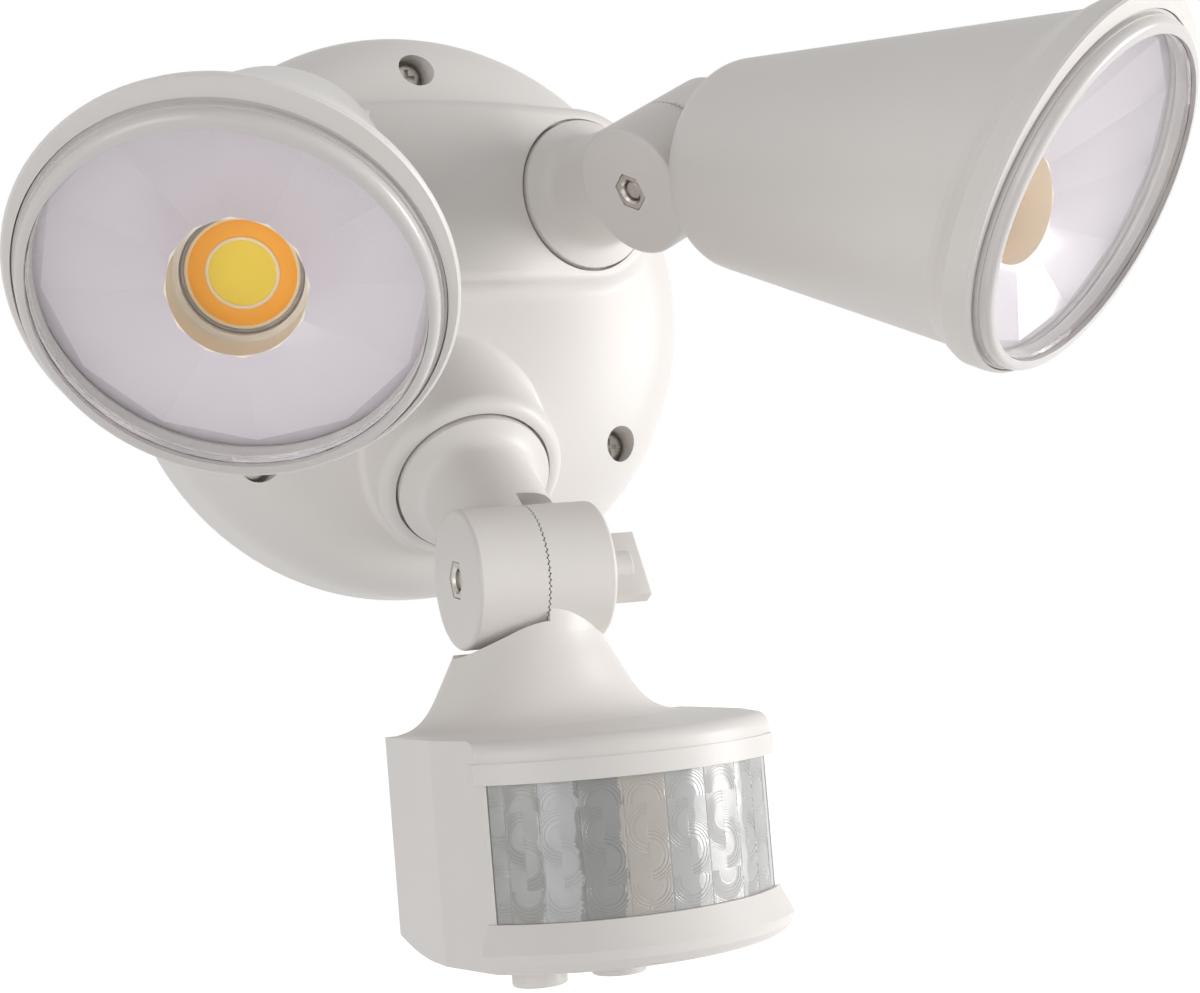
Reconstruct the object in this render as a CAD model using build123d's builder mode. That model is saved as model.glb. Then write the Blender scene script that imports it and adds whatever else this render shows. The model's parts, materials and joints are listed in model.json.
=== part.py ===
from build123d import *
import os
from math import cos, hypot, radians, sin, sqrt, tan

# A motion sensor security light: two adjustable lamp heads and an adjustable motion sensor
# on a round wall base. Millimetres.
#
# Every piece is modelled in the front frame: X to the right, Y up, Z out of the wall, with the
# origin where the base's axis meets the wall. WALL_FRAME turns that into the part's own frame,
# with +Z up, the wall on the plane Y = 0 and the front facing -Y.
WALL_FRAME = Plane.XZ.location

# ---- driving dimensions -------------------------------------------------------------------
# wall base
BASE_RADIUS = 70.0
BASE_RIM_DEPTH = 17.5        # straight wall of the cover
BASE_DEPTH = 46.0            # top of the dome
SHOULDER_RADIUS = 22.0       # tight arc between the straight wall and the crown
COVER_WALL = 2.6
CROWN_FLAT = 16.0            # radius of the flat top of the dome
GASKET_THICKNESS = 2.0
PLATE_THICKNESS = 4.0
PLATE_CLEARANCE = 0.4
COVER_SCREW_CIRCLE = 58.0
COVER_SCREW_ANGLES = (90, -38, -142)
FIXING_SPACING = 84.0        # between the two wall fixing slots
FIXING_SLOT_WIDTH = 5.0
FIXING_SLOT_LENGTH = 9.0
CABLE_ENTRY_RADIUS = 10.0

# details of the base
BOSS_RIM_ROUND = 2.4
BRIDGE_ROOT_ROUND = 5.0
SENSOR_BOSS_LENGTH = 34.0
SENSOR_ROOT_ROUND = 2.0
SENSOR_RIM_ROUND = 3.0
BEARING_DEPTH = 8.5          # collar plane to the nut pocket
NUT_POCKET_RADIUS = 15.5
NUT_POCKET_DEPTH = 24.0
SPIGOT_CLEARANCE = 0.08
SCREW_POST_RADIUS = 6.6
SCREW_WELL_RADIUS = 4.4
SCREW_SEAT = 26.0            # height of the screw heads' seats above the wall
SCREW_RADIUS = 2.0
SCREW_HEAD_RADIUS = 3.7
SCREW_HEAD_HEIGHT = 2.7
CROSS_LENGTH = 4.2
CROSS_WIDTH = 1.1
CROSS_DEPTH = 1.4
GASKET_INNER_RADIUS = 61.0
GROMMET_BORE = 4.0
GROMMET_WALL = 1.5
GROMMET_LIP = 2.0            # width and height of the lips on both sides of the plate
GROMMET_NOSE = 5.0
GROMMET_BACK = 0.6
ENTRY_COLLAR = (13.0, 15.0)  # radii of the raised ring around the cable entry
SEAL_RADIUS = 1.2
RIB_COUNT = 4
RIB_MIDDLE = 30.0
RIB_LENGTH = 22.0
RIB_WIDTH = 1.6
RIB_HEIGHT = 3.0
TERMINAL_Y = -30.0
TERMINAL_WIDTH = 30.0
TERMINAL_DEPTH = 12.0
TERMINAL_HEIGHT = 13.0
TERMINAL_PITCH = 9.0
TERMINAL_WAYS = 3
TERMINAL_SCREW_RADIUS = 2.6
TERMINAL_SCREW_DEPTH = 4.0
TERMINAL_WIRE_RADIUS = 2.2
TERMINAL_WIRE_DEPTH = 5.0
BOARD_Y = 24.0
BOARD_HEIGHT = 11.0
BOARD_LENGTH = 56.0
BOARD_WIDTH = 24.0
BOARD_THICKNESS = 1.6
BOARD_INSET = 6.0            # twice the distance of the board's posts from its edges
POST_RADIUS = 2.0
TRANSFORMER = (15.0, 13.0, 13.0)
TRANSFORMER_SPOT = (-6.0, 0.0)
RELAY = (9.0, 16.0, 9.0)
RELAY_SPOT = (20.0, -2.0)
CAPACITOR_HEIGHT = 11.0
CAPACITORS = ((9.0, 3.0, 5.0), (-20.0, 4.0, 3.0), (-20.0, -5.0, 3.0))    # place and radius

# details of the arms
SEAL_GROOVE_DEPTH = 1.8
SEAL_GROOVE_BACK = -6.4
SEAL_GROOVE_FRONT = -4.4
SEAL_TUBE = 0.9
COLLAR_TOP = 1.2
COLLAR_FLARE = 7.0           # where the flare of the collar runs out into the neck
KNUCKLE_EDGE_ROUND = 1.0
NUT_FIT = 0.05
NUT_SINK = 0.2
WIRE_BORE_TOP = 18.0
SENSOR_REACH = 36.9
BOLT_START = -16.2
TAB_GAP = 0.3                # clearance between the thumb tab and the knuckle
TAB_HUB_RADIUS = 3.6
TAB_HUB_END = 19.0
TAB_LEAN = 20.0
TAB_HEIGHT = 8.0
TAB_TOP_END = 20.0
TAB_BOTTOM_END = 24.5
TAB_THICKNESS = 2.4
SWIVEL_NUT_RADIUS = 14.5
SWIVEL_NUT_THICKNESS = 4.5
SWIVEL_NUT_SIDES = 8

# details of the lamp heads; distances ahead are from the plane of the lens rim
MOUTH_LIFT = 1.9
LED_LIFT = -1.0               # the light engine sits below the beam axis
BELL_STATIONS = (            # distance ahead, and how far proud of the cone
    (-12.0, 0.0), (-10.0, 0.5), (-8.0, 1.7), (-6.0, 2.5), (-2.0, 2.5), (-0.6, 2.3), (0.0, 1.7),
)
MOUTH_BORE_BACK = -5.6
MOUTH_BORE = (34.4, 35.6)
RECESS = (36.8, 38.9)
RECESS_GAP = 0.1             # between the recess and the gasket
GASKET_WIDTH = 2.1
BORE_GAP = 0.2               # between the mouth's bore and the reflector
LEDGE = -3.2
LENS_BACK = -2.2
LENS_STEP = -0.4             # front of the thin flange inside the lip
LENS_LINE = 0.9              # small step on the outside of the rim
LENS_RIM = 3.2
LENS_FLANGE = (36.6, 38.7)
LENS_COLLAR = (35.7, 37.7)
LENS_RIM_ROUND = 1.5
LENS_SHOULDER = 0.4          # width of the step on the rim, and of the inner window's ledge
LENS_WINDOW = (33.8, 34.9)
LENS_GROOVE = 2.0            # edge of the window, below the top of the rim
LENS_CROWN = 3.8
LENS_WALL = 2.0
SHELF_BACK = 73.0            # ring shelf that carries the heat sink
SHELF_THICKNESS = 3.0
SHELF_MIDDLE = 29.8          # middle radius of its section
SHELF_WIDTH = 8.0
CAVITY_FLOOR = 4.6           # thickness of the housing's closed back
HEAT_SINK_RADIUS = 27.8
HEAT_SINK_TOP = 82.6
FIN_BACK = 48.0
FIN_HUB_RADIUS = 7.0
FIN_LENGTH = 16.0
FIN_THICKNESS = 2.0
FIN_COUNT = 8
LED_BOARD_RADIUS = 14.0
LED_BOARD_THICKNESS = 1.6
BOARD_RECESS = 0.2
HOLDER_RADIUS = 23.8
WELL_WALL = 1.4
WELL_STEP = 1.4              # height of the small ledge around the emitter
HOLDER_FLANGE = 1.4
LENSLET_RADIUS = 11.3
REFLECTOR_WALL = 1.2
REFLECTOR_FRONT = -4.0
REFLECTOR_FACETS = 12

BOTTOM = (Align.CENTER, Align.CENTER, Align.MIN)

# the places where the three arms leave the base
LAMP_COLLAR = (38.0, 25.2, 46.0)
LAMP_SPLAY = 14.3
SENSOR_COLLAR = (0.0, -44.1, 54.4)
SENSOR_PITCH = 38.6
BOSS_RADIUS = 21.8
SENSOR_BOSS_RADIUS = 22.5
COLLAR_RADIUS = 18.2
COLLAR_GROOVE = 0.7          # gap between the collar and its recess
COLLAR_SINK = 2.5            # depth of the recess
SPIGOT_RADIUS = 11.0
SPIGOT_LENGTH = 14.0
NECK_RADIUS = 13.4
ARM_REACH = 35.5             # from the collar plane to the pivot
WIRE_BORE = 4.0

# serrated knuckle
KNUCKLE_RADIUS = 15.5
KNUCKLE_HALF = 16.0          # width of each half
KNUCKLE_GAP = 0.05           # each half stops this far from the mid plane
NECK_NOTCH_RADIUS = 18.4     # the neck stops here beside the other half
TOOTH_COUNT = 72             # radial V grooves in the two faces that meet
TOOTH_START = 9.5            # inner radius of the serration
TOOTH_BAR = 0.56             # side of the square section whose corner cuts a groove
PIVOT_BOLT_RADIUS = 2.5
PIVOT_HOLE_RADIUS = 2.56
NUT_FLATS = 8.0
NUT_THICKNESS = 4.0

# lamp head, measured from the pivot along the beam
HEAD_BACK = 16.6
HEAD_BACK_ROUND = 8.0
HEAD_LIFT = 1.7              # beam axis above the pivot
CONE_START_RADIUS = 20.4     # cone radius at the pivot
CONE_SLOPE = 0.1425
HEAD_LENGTH = 111.8          # pivot to the centre of the mouth
MOUTH_SLANT = 21.0
MOUTH_LONG = 40.1            # long half axis of the housing's lip
HEAD_WALL = 2.6
LED_PLANE = 84.8
LED_RADIUS = 9.8
WELL_RADIUS = 12.4
WELL_FRONT = 94.8

# how the two heads and the sensor stand at rest
RIGHT_SWIVEL = 26.5
RIGHT_TILT = 17.2
LEFT_SWIVEL = -15.6
LEFT_TILT = 24.7

# sensor head, measured from its pivot: Y up, Z forward
SENSOR_HALF_WIDTH = 35.0
SENSOR_BACK = 0.5
SENSOR_SIDE_FRONT = 30.7
SENSOR_TOP = -32.3
SENSOR_SEAM = -42.0
SENSOR_WINDOW_BOTTOM = -67.8
SENSOR_BOTTOM = -77.5
LENS_CENTRE = 25.6
LENS_RADIUS = 38.6
LENS_HALF_ANGLE = 52.7

# details of the sensor
CHEEK_SLOPE = 0.235          # slanted cheeks between the sides and the window
BROW_EDGE = -40.8            # lower edge of the brow over the window
BROW_BANDS = ((SENSOR_TOP, -36.7, 40.0), (-36.7, BROW_EDGE, 40.6))
BROW_ANGLE = 53.5
BROW_START = 44.3
BROW_ROUND = 3.0
TOWER_SHOULDER = -7.6
TOWER_TOP = -13.0
TOWER_WIDE = 16.0
TOWER_DEEP = 13.4
TOWER_STATIONS = (           # height and half axes of the tower's sections
    (TOWER_TOP, TOWER_WIDE, TOWER_DEEP), (-19.0, 18.9, 14.6), (-25.0, 22.4, 15.8),
    (-29.5, 26.0, 18.0), (-31.6, 29.5, 21.0), (SENSOR_TOP, 32.5, 23.0),
)
TOWER_BACK = -10.0
SEAM_MIDDLE = 19.5
SADDLE_RADIUS = 17.0
CHEEK_END = 46.0
OPENING_ANGLE = 51.5
HEEL_RISE = 3.2
HEEL_MIDDLE = 14.0
SKIRT_TOP_RADIUS = 39.4
SKIRT_RADIUS = 42.0
SKIRT_ANGLE = -36.0          # start of the flared lip, from the sensor's right
SKIRT_SWEEP = -108.0
SENSOR_WALL = 2.2
FILM_THICKNESS = 0.6
SENSOR_BOARD_STAND = 4.0
SENSOR_BOARD_Y = -59.0
SENSOR_BOARD_WIDTH = 58.0
SENSOR_BOARD_HEIGHT = 24.0
PIR_Y = -55.0
PIR_RADIUS = 4.1
PIR_HEIGHT = 3.8
PIR_FLANGE = 0.6             # thickness of its flange
PIR_WINDOW = (4.0, 3.0, 0.4)
KNOB_SPOTS = ((-20.5, 44.8), (-3.5, 44.8))
KNOB_RADIUS = 5.5
KNOB_HEIGHT = 3.4
KNOB_GAP = 0.3
KNOB_SHAFT_RADIUS = 2.4
KNOB_SHAFT_LENGTH = 7.0
KNOB_HOLE_DEPTH = 10.0
KNOB_ROUND = 0.6
KNOB_SLOT = (7.7, 1.4, 1.2)  # screwdriver slot: length, width and depth

os.makedirs("parts", exist_ok=True)


def write(piece, name, place=Location()):
    """Put a finished piece into the part's frame and write it as one STEP file."""
    placed = piece.moved(WALL_FRAME * place)
    placed.label = name
    export_step(placed, f"parts/{name}.step")


# ---- where the arms and heads stand ---------------------------------------------------------
def arm_place(collar, turn, swivel):
    """Frame of an arm: origin on the collar plane, Z outward, X towards the thumb tab."""
    return Location(collar, turn) * Location((0, 0, 0), (0, 0, swivel))


def head_place(arm, tilt):
    """Frame of a head: origin on the pivot, Z along the beam."""
    return arm * Location((0, 0, ARM_REACH), (tilt, 0, 0))


RIGHT_COLLAR = Location(LAMP_COLLAR, (0, LAMP_SPLAY, 0))
LEFT_COLLAR_POSITION = (-LAMP_COLLAR[0], LAMP_COLLAR[1], LAMP_COLLAR[2])
LEFT_COLLAR = Location(LEFT_COLLAR_POSITION, (0, -LAMP_SPLAY, 0))
LOWER_COLLAR = Location(SENSOR_COLLAR, (SENSOR_PITCH, 0, 0))
RIGHT_ARM = arm_place(LAMP_COLLAR, (0, LAMP_SPLAY, 0), RIGHT_SWIVEL)
LEFT_ARM = arm_place(LEFT_COLLAR_POSITION, (0, -LAMP_SPLAY, 0), LEFT_SWIVEL)
SENSOR_ARM = arm_place(SENSOR_COLLAR, (SENSOR_PITCH, 0, 0), 0)
RIGHT_HEAD = head_place(RIGHT_ARM, RIGHT_TILT)
LEFT_HEAD = head_place(LEFT_ARM, LEFT_TILT)
SENSOR_HEAD = SENSOR_ARM * Location((0, 0, SENSOR_REACH), (-SENSOR_PITCH, 0, 0))


# ---- wall base ------------------------------------------------------------------------------
def dome_profile(inset, back):
    """Closed half section of the dome in the plane X, Z, this far inside its outer face."""
    radius = BASE_RADIUS - inset
    depth = BASE_DEPTH - inset
    shoulder = SHOULDER_RADIUS - inset
    run = radius - CROWN_FLAT
    rise = depth - BASE_RIM_DEPTH
    crown = (run ** 2 + rise ** 2 - 2 * run * shoulder) / 2 / (rise - shoulder)
    across = run - shoulder
    along = crown - rise
    reach = shoulder / hypot(across, along)
    rim = (radius, BASE_RIM_DEPTH)
    meet = (radius - shoulder + across * reach, BASE_RIM_DEPTH + along * reach)
    flat = (CROWN_FLAT, depth)
    Polyline(flat, (0, depth), (0, back), (radius, back), rim)
    lower = TangentArc(rim, meet, tangent=(0, 1))
    TangentArc(meet, flat, tangent=lower % 1)


def bridge_profile():
    """Plan of the bridge between the lamp bosses: flats under the collars joined by an arc."""
    splay = radians(LAMP_SPLAY)
    outer = BOSS_RADIUS + 1.0
    inner = COLLAR_RADIUS + 1.0
    tip = (lamp_x + outer * cos(splay), lamp_z - outer * sin(splay))
    root = (lamp_x - inner * cos(splay), lamp_z + inner * sin(splay))
    crown = (0, root[1] + root[0] * tan(splay / 2))
    Line(root, tip)
    Polyline(tip, (tip[0], BASE_RIM_DEPTH), (-tip[0], BASE_RIM_DEPTH), (-tip[0], tip[1]))
    Line((-tip[0], tip[1]), (-root[0], root[1]))
    ThreePointArc((-root[0], root[1]), crown, root)


def circle_spots(radius, angles):
    """Points at these angles on a circle about the base's axis."""
    return [(radius * cos(radians(a)), radius * sin(radians(a))) for a in angles]


lamp_x, lamp_y, lamp_z = LAMP_COLLAR
cover_back = GASKET_THICKNESS
plate_front = GASKET_THICKNESS + PLATE_THICKNESS
collars = (Plane(RIGHT_COLLAR), Plane(LEFT_COLLAR), Plane(LOWER_COLLAR))
screw_spots = circle_spots(COVER_SCREW_CIRCLE, COVER_SCREW_ANGLES)

with BuildPart() as bridge:
    with BuildSketch(Plane.XZ.offset(-lamp_y)):
        with BuildLine():
            bridge_profile()
        make_face()
    extrude(amount=BOSS_RADIUS, both=True)
    with BuildSketch(Plane.XY):
        with Locations((0, lamp_y)):
            SlotCenterToCenter(2 * lamp_x, 2 * BOSS_RADIUS)
    extrude(amount=2 * BASE_DEPTH, mode=Mode.INTERSECT)
    rims = bridge.edges().filter_by(lambda e: e.center().Z > BASE_DEPTH - 10)
    fillet(rims.filter_by(Axis.Y, reverse=True), BOSS_RIM_ROUND)

with BuildPart() as cavity:
    with BuildSketch(Plane.XZ):
        with BuildLine():
            dome_profile(COVER_WALL, 0)
        make_face()
    revolve(axis=Axis.Z)
    for collar in collars:
        with BuildSketch(collar.offset(-BEARING_DEPTH)):
            Circle(NUT_POCKET_RADIUS)
        extrude(amount=-NUT_POCKET_DEPTH)
    with BuildSketch(Plane.XY.offset(plate_front)):
        with Locations(*screw_spots):
            Circle(SCREW_POST_RADIUS)
    extrude(amount=BASE_DEPTH, mode=Mode.SUBTRACT)

with BuildPart() as base_cover:
    with BuildSketch(Plane.XZ):
        with BuildLine():
            dome_profile(0, cover_back)
        make_face()
    revolve(axis=Axis.Z)
    add(bridge.part)
    fillet(base_cover.edges(Select.NEW), BRIDGE_ROOT_ROUND)
    with BuildSketch(Plane(LOWER_COLLAR)):
        Circle(SENSOR_BOSS_RADIUS)
    extrude(amount=-SENSOR_BOSS_LENGTH)
    boss_root = base_cover.edges(Select.NEW).filter_by(GeomType.CIRCLE, reverse=True)
    fillet(boss_root, SENSOR_ROOT_ROUND)
    boss_rim = base_cover.edges().filter_by(GeomType.CIRCLE)
    fillet(boss_rim.sort_by_distance(SENSOR_COLLAR)[0], SENSOR_RIM_ROUND)
    add(cavity.part, mode=Mode.SUBTRACT)
    for collar in collars:
        with BuildSketch(collar):
            Circle(COLLAR_RADIUS + COLLAR_GROOVE)
        extrude(amount=-COLLAR_SINK, mode=Mode.SUBTRACT)
        with BuildSketch(collar):
            Circle(SPIGOT_RADIUS + SPIGOT_CLEARANCE)
        extrude(amount=-NUT_POCKET_DEPTH, mode=Mode.SUBTRACT)
    with Locations(*[(x, y, SCREW_SEAT) for x, y in screw_spots]):
        Cylinder(SCREW_WELL_RADIUS, BASE_DEPTH, align=BOTTOM, mode=Mode.SUBTRACT)
        Cylinder(SCREW_RADIUS + 0.2, 2 * SCREW_SEAT, mode=Mode.SUBTRACT)
write(base_cover.part, "base_cover")

with BuildPart() as wall_gasket:
    with BuildSketch():
        Circle(BASE_RADIUS - 0.8)
        Circle(GASKET_INNER_RADIUS, mode=Mode.SUBTRACT)
    extrude(amount=GASKET_THICKNESS)
write(wall_gasket.part, "wall_gasket")

plate_radius = BASE_RADIUS - COVER_WALL - PLATE_CLEARANCE
with BuildPart() as back_plate:
    with BuildSketch(Plane.XY.offset(GASKET_THICKNESS)):
        Circle(plate_radius)
        Circle(CABLE_ENTRY_RADIUS, mode=Mode.SUBTRACT)
        with Locations((-FIXING_SPACING / 2, 0), (FIXING_SPACING / 2, 0)):
            SlotOverall(FIXING_SLOT_LENGTH, FIXING_SLOT_WIDTH, mode=Mode.SUBTRACT)
        with Locations(*screw_spots):
            Circle(SCREW_RADIUS, mode=Mode.SUBTRACT)
    extrude(amount=PLATE_THICKNESS)
    with BuildSketch(Plane.XY.offset(plate_front)):
        Circle(ENTRY_COLLAR[1])
        Circle(ENTRY_COLLAR[0], mode=Mode.SUBTRACT)
        with PolarLocations(RIB_MIDDLE, RIB_COUNT, start_angle=180 / RIB_COUNT):
            Rectangle(RIB_LENGTH, RIB_WIDTH)
    extrude(amount=RIB_HEIGHT)
write(back_plate.part, "back_plate")

with BuildPart() as cable_grommet:
    with BuildSketch(Plane.XZ):
        with BuildLine():
            bore = GROMMET_BORE
            waist = CABLE_ENTRY_RADIUS - 0.1
            flange = CABLE_ENTRY_RADIUS + GROMMET_LIP
            nose = plate_front + GROMMET_NOSE
            Polyline(
                (bore, GROMMET_BACK), (flange, GROMMET_BACK), (flange, cover_back),
                (waist, cover_back), (waist, plate_front), (flange, plate_front),
                (waist, plate_front + GROMMET_LIP), (bore + GROMMET_WALL, nose), (bore, nose),
                close=True,
            )
        make_face()
    revolve(axis=Axis.Z)
write(cable_grommet.part, "cable_grommet")

with BuildPart() as cover_seal:
    with BuildSketch(Plane.XZ):
        with Locations((plate_radius - SEAL_RADIUS, plate_front + SEAL_RADIUS)):
            Circle(SEAL_RADIUS)
    revolve(axis=Axis.Z)
write(cover_seal.part, "cover_seal")

with BuildPart() as cover_screws:
    with Locations(*[(x, y, SCREW_SEAT) for x, y in screw_spots]):
        Cylinder(SCREW_HEAD_RADIUS, SCREW_HEAD_HEIGHT, align=BOTTOM)
    tops = cover_screws.faces().group_by(Axis.Z)[-1].edges()
    fillet(tops, SCREW_HEAD_HEIGHT / 3)
    with Locations(*[(x, y, GASKET_THICKNESS + 1) for x, y in screw_spots]):
        Cylinder(SCREW_RADIUS, SCREW_SEAT - GASKET_THICKNESS - 1, align=BOTTOM)
    cross_plane = Plane.XY.offset(SCREW_SEAT + SCREW_HEAD_HEIGHT)
    with BuildSketch(cross_plane):
        with Locations(*screw_spots):
            Rectangle(CROSS_LENGTH, CROSS_WIDTH)
            Rectangle(CROSS_WIDTH, CROSS_LENGTH)
    extrude(amount=-CROSS_DEPTH, mode=Mode.SUBTRACT)
write(cover_screws.part, "cover_screws")

with BuildPart() as terminal_block:
    with Locations((0, TERMINAL_Y, plate_front)):
        Box(TERMINAL_WIDTH, TERMINAL_DEPTH, TERMINAL_HEIGHT, align=BOTTOM)
    terminal_top = Plane((0, TERMINAL_Y, plate_front + TERMINAL_HEIGHT))
    with BuildSketch(terminal_top):
        with GridLocations(TERMINAL_PITCH, 0, TERMINAL_WAYS, 1):
            Circle(TERMINAL_SCREW_RADIUS)
    extrude(amount=-TERMINAL_SCREW_DEPTH, mode=Mode.SUBTRACT)
    with BuildSketch(Plane(terminal_block.faces().sort_by(Axis.Y)[0])):
        with GridLocations(TERMINAL_PITCH, 0, TERMINAL_WAYS, 1):
            Circle(TERMINAL_WIRE_RADIUS)
    extrude(amount=-TERMINAL_WIRE_DEPTH, mode=Mode.SUBTRACT)
write(terminal_block.part, "terminal_block")

board_plane = Plane((0, BOARD_Y, BOARD_HEIGHT))
with BuildPart() as driver_board:
    with BuildSketch(board_plane):
        Rectangle(BOARD_LENGTH, BOARD_WIDTH)
    extrude(amount=BOARD_THICKNESS)
    with BuildSketch(board_plane):
        with GridLocations(BOARD_LENGTH - BOARD_INSET, BOARD_WIDTH - BOARD_INSET, 2, 2):
            Circle(POST_RADIUS)
    extrude(amount=plate_front - BOARD_HEIGHT)
write(driver_board.part, "driver_board")

parts_plane = board_plane.offset(BOARD_THICKNESS)
with BuildPart() as driver_parts:
    for spot, (wide, tall, height) in ((TRANSFORMER_SPOT, TRANSFORMER), (RELAY_SPOT, RELAY)):
        with BuildSketch(parts_plane):
            with Locations(spot):
                Rectangle(wide, tall)
        extrude(amount=height)
    with BuildSketch(parts_plane):
        for x, y, radius in CAPACITORS:
            with Locations((x, y)):
                Circle(radius)
    extrude(amount=CAPACITOR_HEIGHT)
write(driver_parts.part, "driver_parts")


# ---- swivel arms ----------------------------------------------------------------------------
def arm_section(reach):
    """Half section of an arm's spigot, collar and neck, in the plane X, Z."""
    seal = SPIGOT_RADIUS - SEAL_GROOVE_DEPTH
    Polyline(
        (NECK_RADIUS, COLLAR_FLARE), (NECK_RADIUS, reach), (0, reach), (0, -SPIGOT_LENGTH),
        (SPIGOT_RADIUS, -SPIGOT_LENGTH), (SPIGOT_RADIUS, SEAL_GROOVE_BACK),
        (seal, SEAL_GROOVE_BACK), (seal, SEAL_GROOVE_FRONT),
        (SPIGOT_RADIUS, SEAL_GROOVE_FRONT), (SPIGOT_RADIUS, 0.1 - COLLAR_SINK),
        (COLLAR_RADIUS, 0.1 - COLLAR_SINK), (COLLAR_RADIUS, COLLAR_TOP),
    )
    flare = ((COLLAR_RADIUS, COLLAR_TOP), (NECK_RADIUS, COLLAR_FLARE))
    Spline(*flare, tangents=((-1, 0.6), (0, 1)))


def make_serration(turn):
    """Tool for the radial grooves of a knuckle half, on the plane YZ about the X axis."""
    with BuildPart(Plane.YZ) as serration:
        with PolarLocations(TOOTH_START, TOOTH_COUNT, start_angle=turn):
            Box(
                KNUCKLE_RADIUS - TOOTH_START + TOOTH_BAR, TOOTH_BAR, TOOTH_BAR,
                rotation=(45, 0, 0), align=(Align.MIN, Align.CENTER, Align.CENTER),
            )
    return serration.part


def make_arm(reach):
    """Collar, neck and the knuckle half with the nut pocket."""
    knuckle = Plane((0, 0, reach), x_dir=(0, 1, 0), z_dir=(1, 0, 0))
    with BuildPart() as arm:
        with BuildSketch(Plane.XZ):
            with BuildLine():
                arm_section(reach)
            make_face()
        revolve(axis=Axis.Z)
        with BuildSketch(knuckle.offset(-KNUCKLE_GAP)):
            Circle(NECK_NOTCH_RADIUS)
        extrude(amount=KNUCKLE_HALF + KNUCKLE_GAP, mode=Mode.SUBTRACT)
        with BuildSketch(knuckle.offset(-KNUCKLE_GAP)):
            Circle(KNUCKLE_RADIUS)
        extrude(amount=KNUCKLE_GAP - KNUCKLE_HALF)
        outer = arm.faces().filter_by(GeomType.PLANE).sort_by(Axis.X)[0]
        fillet(outer.edges(), KNUCKLE_EDGE_ROUND)
        with BuildSketch(knuckle.offset(-KNUCKLE_HALF)):
            RegularPolygon(NUT_FLATS / 2 + NUT_FIT, 6, major_radius=False)
        extrude(amount=NUT_THICKNESS + NUT_SINK, mode=Mode.SUBTRACT)
        add(make_serration(0).moved(Location((-KNUCKLE_GAP, 0, reach))), mode=Mode.SUBTRACT)
        with BuildSketch(knuckle):
            Circle(PIVOT_HOLE_RADIUS)
        extrude(amount=-KNUCKLE_HALF, mode=Mode.SUBTRACT)
        with BuildSketch(Plane.XY.offset(-SPIGOT_LENGTH)):
            Circle(WIRE_BORE)
        extrude(amount=SPIGOT_LENGTH + WIRE_BORE_TOP, mode=Mode.SUBTRACT)
    return arm.part


def make_clamp_screw():
    """Pivot bolt with its moulded thumb tab, about the pivot axis X."""
    across = Plane.YZ
    with BuildPart() as screw:
        with BuildSketch(across.offset(BOLT_START)):
            Circle(PIVOT_BOLT_RADIUS)
        extrude(amount=TAB_HUB_END - BOLT_START)
        with BuildSketch(across.offset(KNUCKLE_HALF + TAB_GAP)):
            Circle(TAB_HUB_RADIUS)
        extrude(amount=TAB_HUB_END - KNUCKLE_HALF - TAB_GAP)
        with BuildSketch(Plane.XY.rotated((TAB_LEAN, 0, 0))):
            with BuildLine():
                start = KNUCKLE_HALF + 2 * TAB_GAP
                Polyline(
                    (start, TAB_HEIGHT), (TAB_TOP_END, TAB_HEIGHT),
                    (TAB_BOTTOM_END, -TAB_HEIGHT), (start, -TAB_HEIGHT), close=True,
                )
            make_face()
        extrude(amount=TAB_THICKNESS / 2, both=True)
    return screw.part


with BuildPart() as pivot_nut:
    with BuildSketch(Plane.YZ.offset(NUT_SINK - KNUCKLE_HALF)):
        RegularPolygon(NUT_FLATS / 2, 6, major_radius=False)
        Circle(PIVOT_HOLE_RADIUS, mode=Mode.SUBTRACT)
    extrude(amount=NUT_THICKNESS)

with BuildPart() as swivel_nut:
    with BuildSketch(Plane.XY.offset(-BEARING_DEPTH - 0.1)):
        RegularPolygon(SWIVEL_NUT_RADIUS, SWIVEL_NUT_SIDES)
        Circle(SPIGOT_RADIUS, mode=Mode.SUBTRACT)
    extrude(amount=-SWIVEL_NUT_THICKNESS)

with BuildPart() as swivel_seal:
    with BuildSketch(Plane.XZ):
        seal_x = SPIGOT_RADIUS - SEAL_GROOVE_DEPTH + SEAL_TUBE
        with Locations((seal_x, (SEAL_GROOVE_BACK + SEAL_GROOVE_FRONT) / 2)):
            Circle(SEAL_TUBE)
    revolve(axis=Axis.Z)

lamp_arm = make_arm(ARM_REACH)
clamp_screw = make_clamp_screw()
arm_sets = (
    ("right", RIGHT_ARM, lamp_arm, ARM_REACH),
    ("left", LEFT_ARM, lamp_arm, ARM_REACH),
    ("sensor", SENSOR_ARM, make_arm(SENSOR_REACH), SENSOR_REACH),
)
for side, place, arm_part, reach in arm_sets:
    pivot = place * Location((0, 0, reach))
    write(arm_part, f"{side}_arm", place)
    write(swivel_nut.part, f"{side}_swivel_nut", place)
    write(swivel_seal.part, f"{side}_swivel_seal", place)
    write(pivot_nut.part, f"{side}_pivot_nut", pivot)
    write(clamp_screw, f"{side}_clamp_screw", pivot)


# ---- lamp heads -----------------------------------------------------------------------------
def mouth_plane(ahead):
    """A plane parallel to the mouth, this far in front of the lens rim."""
    slant = radians(MOUTH_SLANT)
    centre = (0, MOUTH_LIFT - ahead * sin(slant), HEAD_LENGTH + ahead * cos(slant))
    return Plane(centre, x_dir=(1, 0, 0), z_dir=(0, -sin(slant), cos(slant)))


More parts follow.
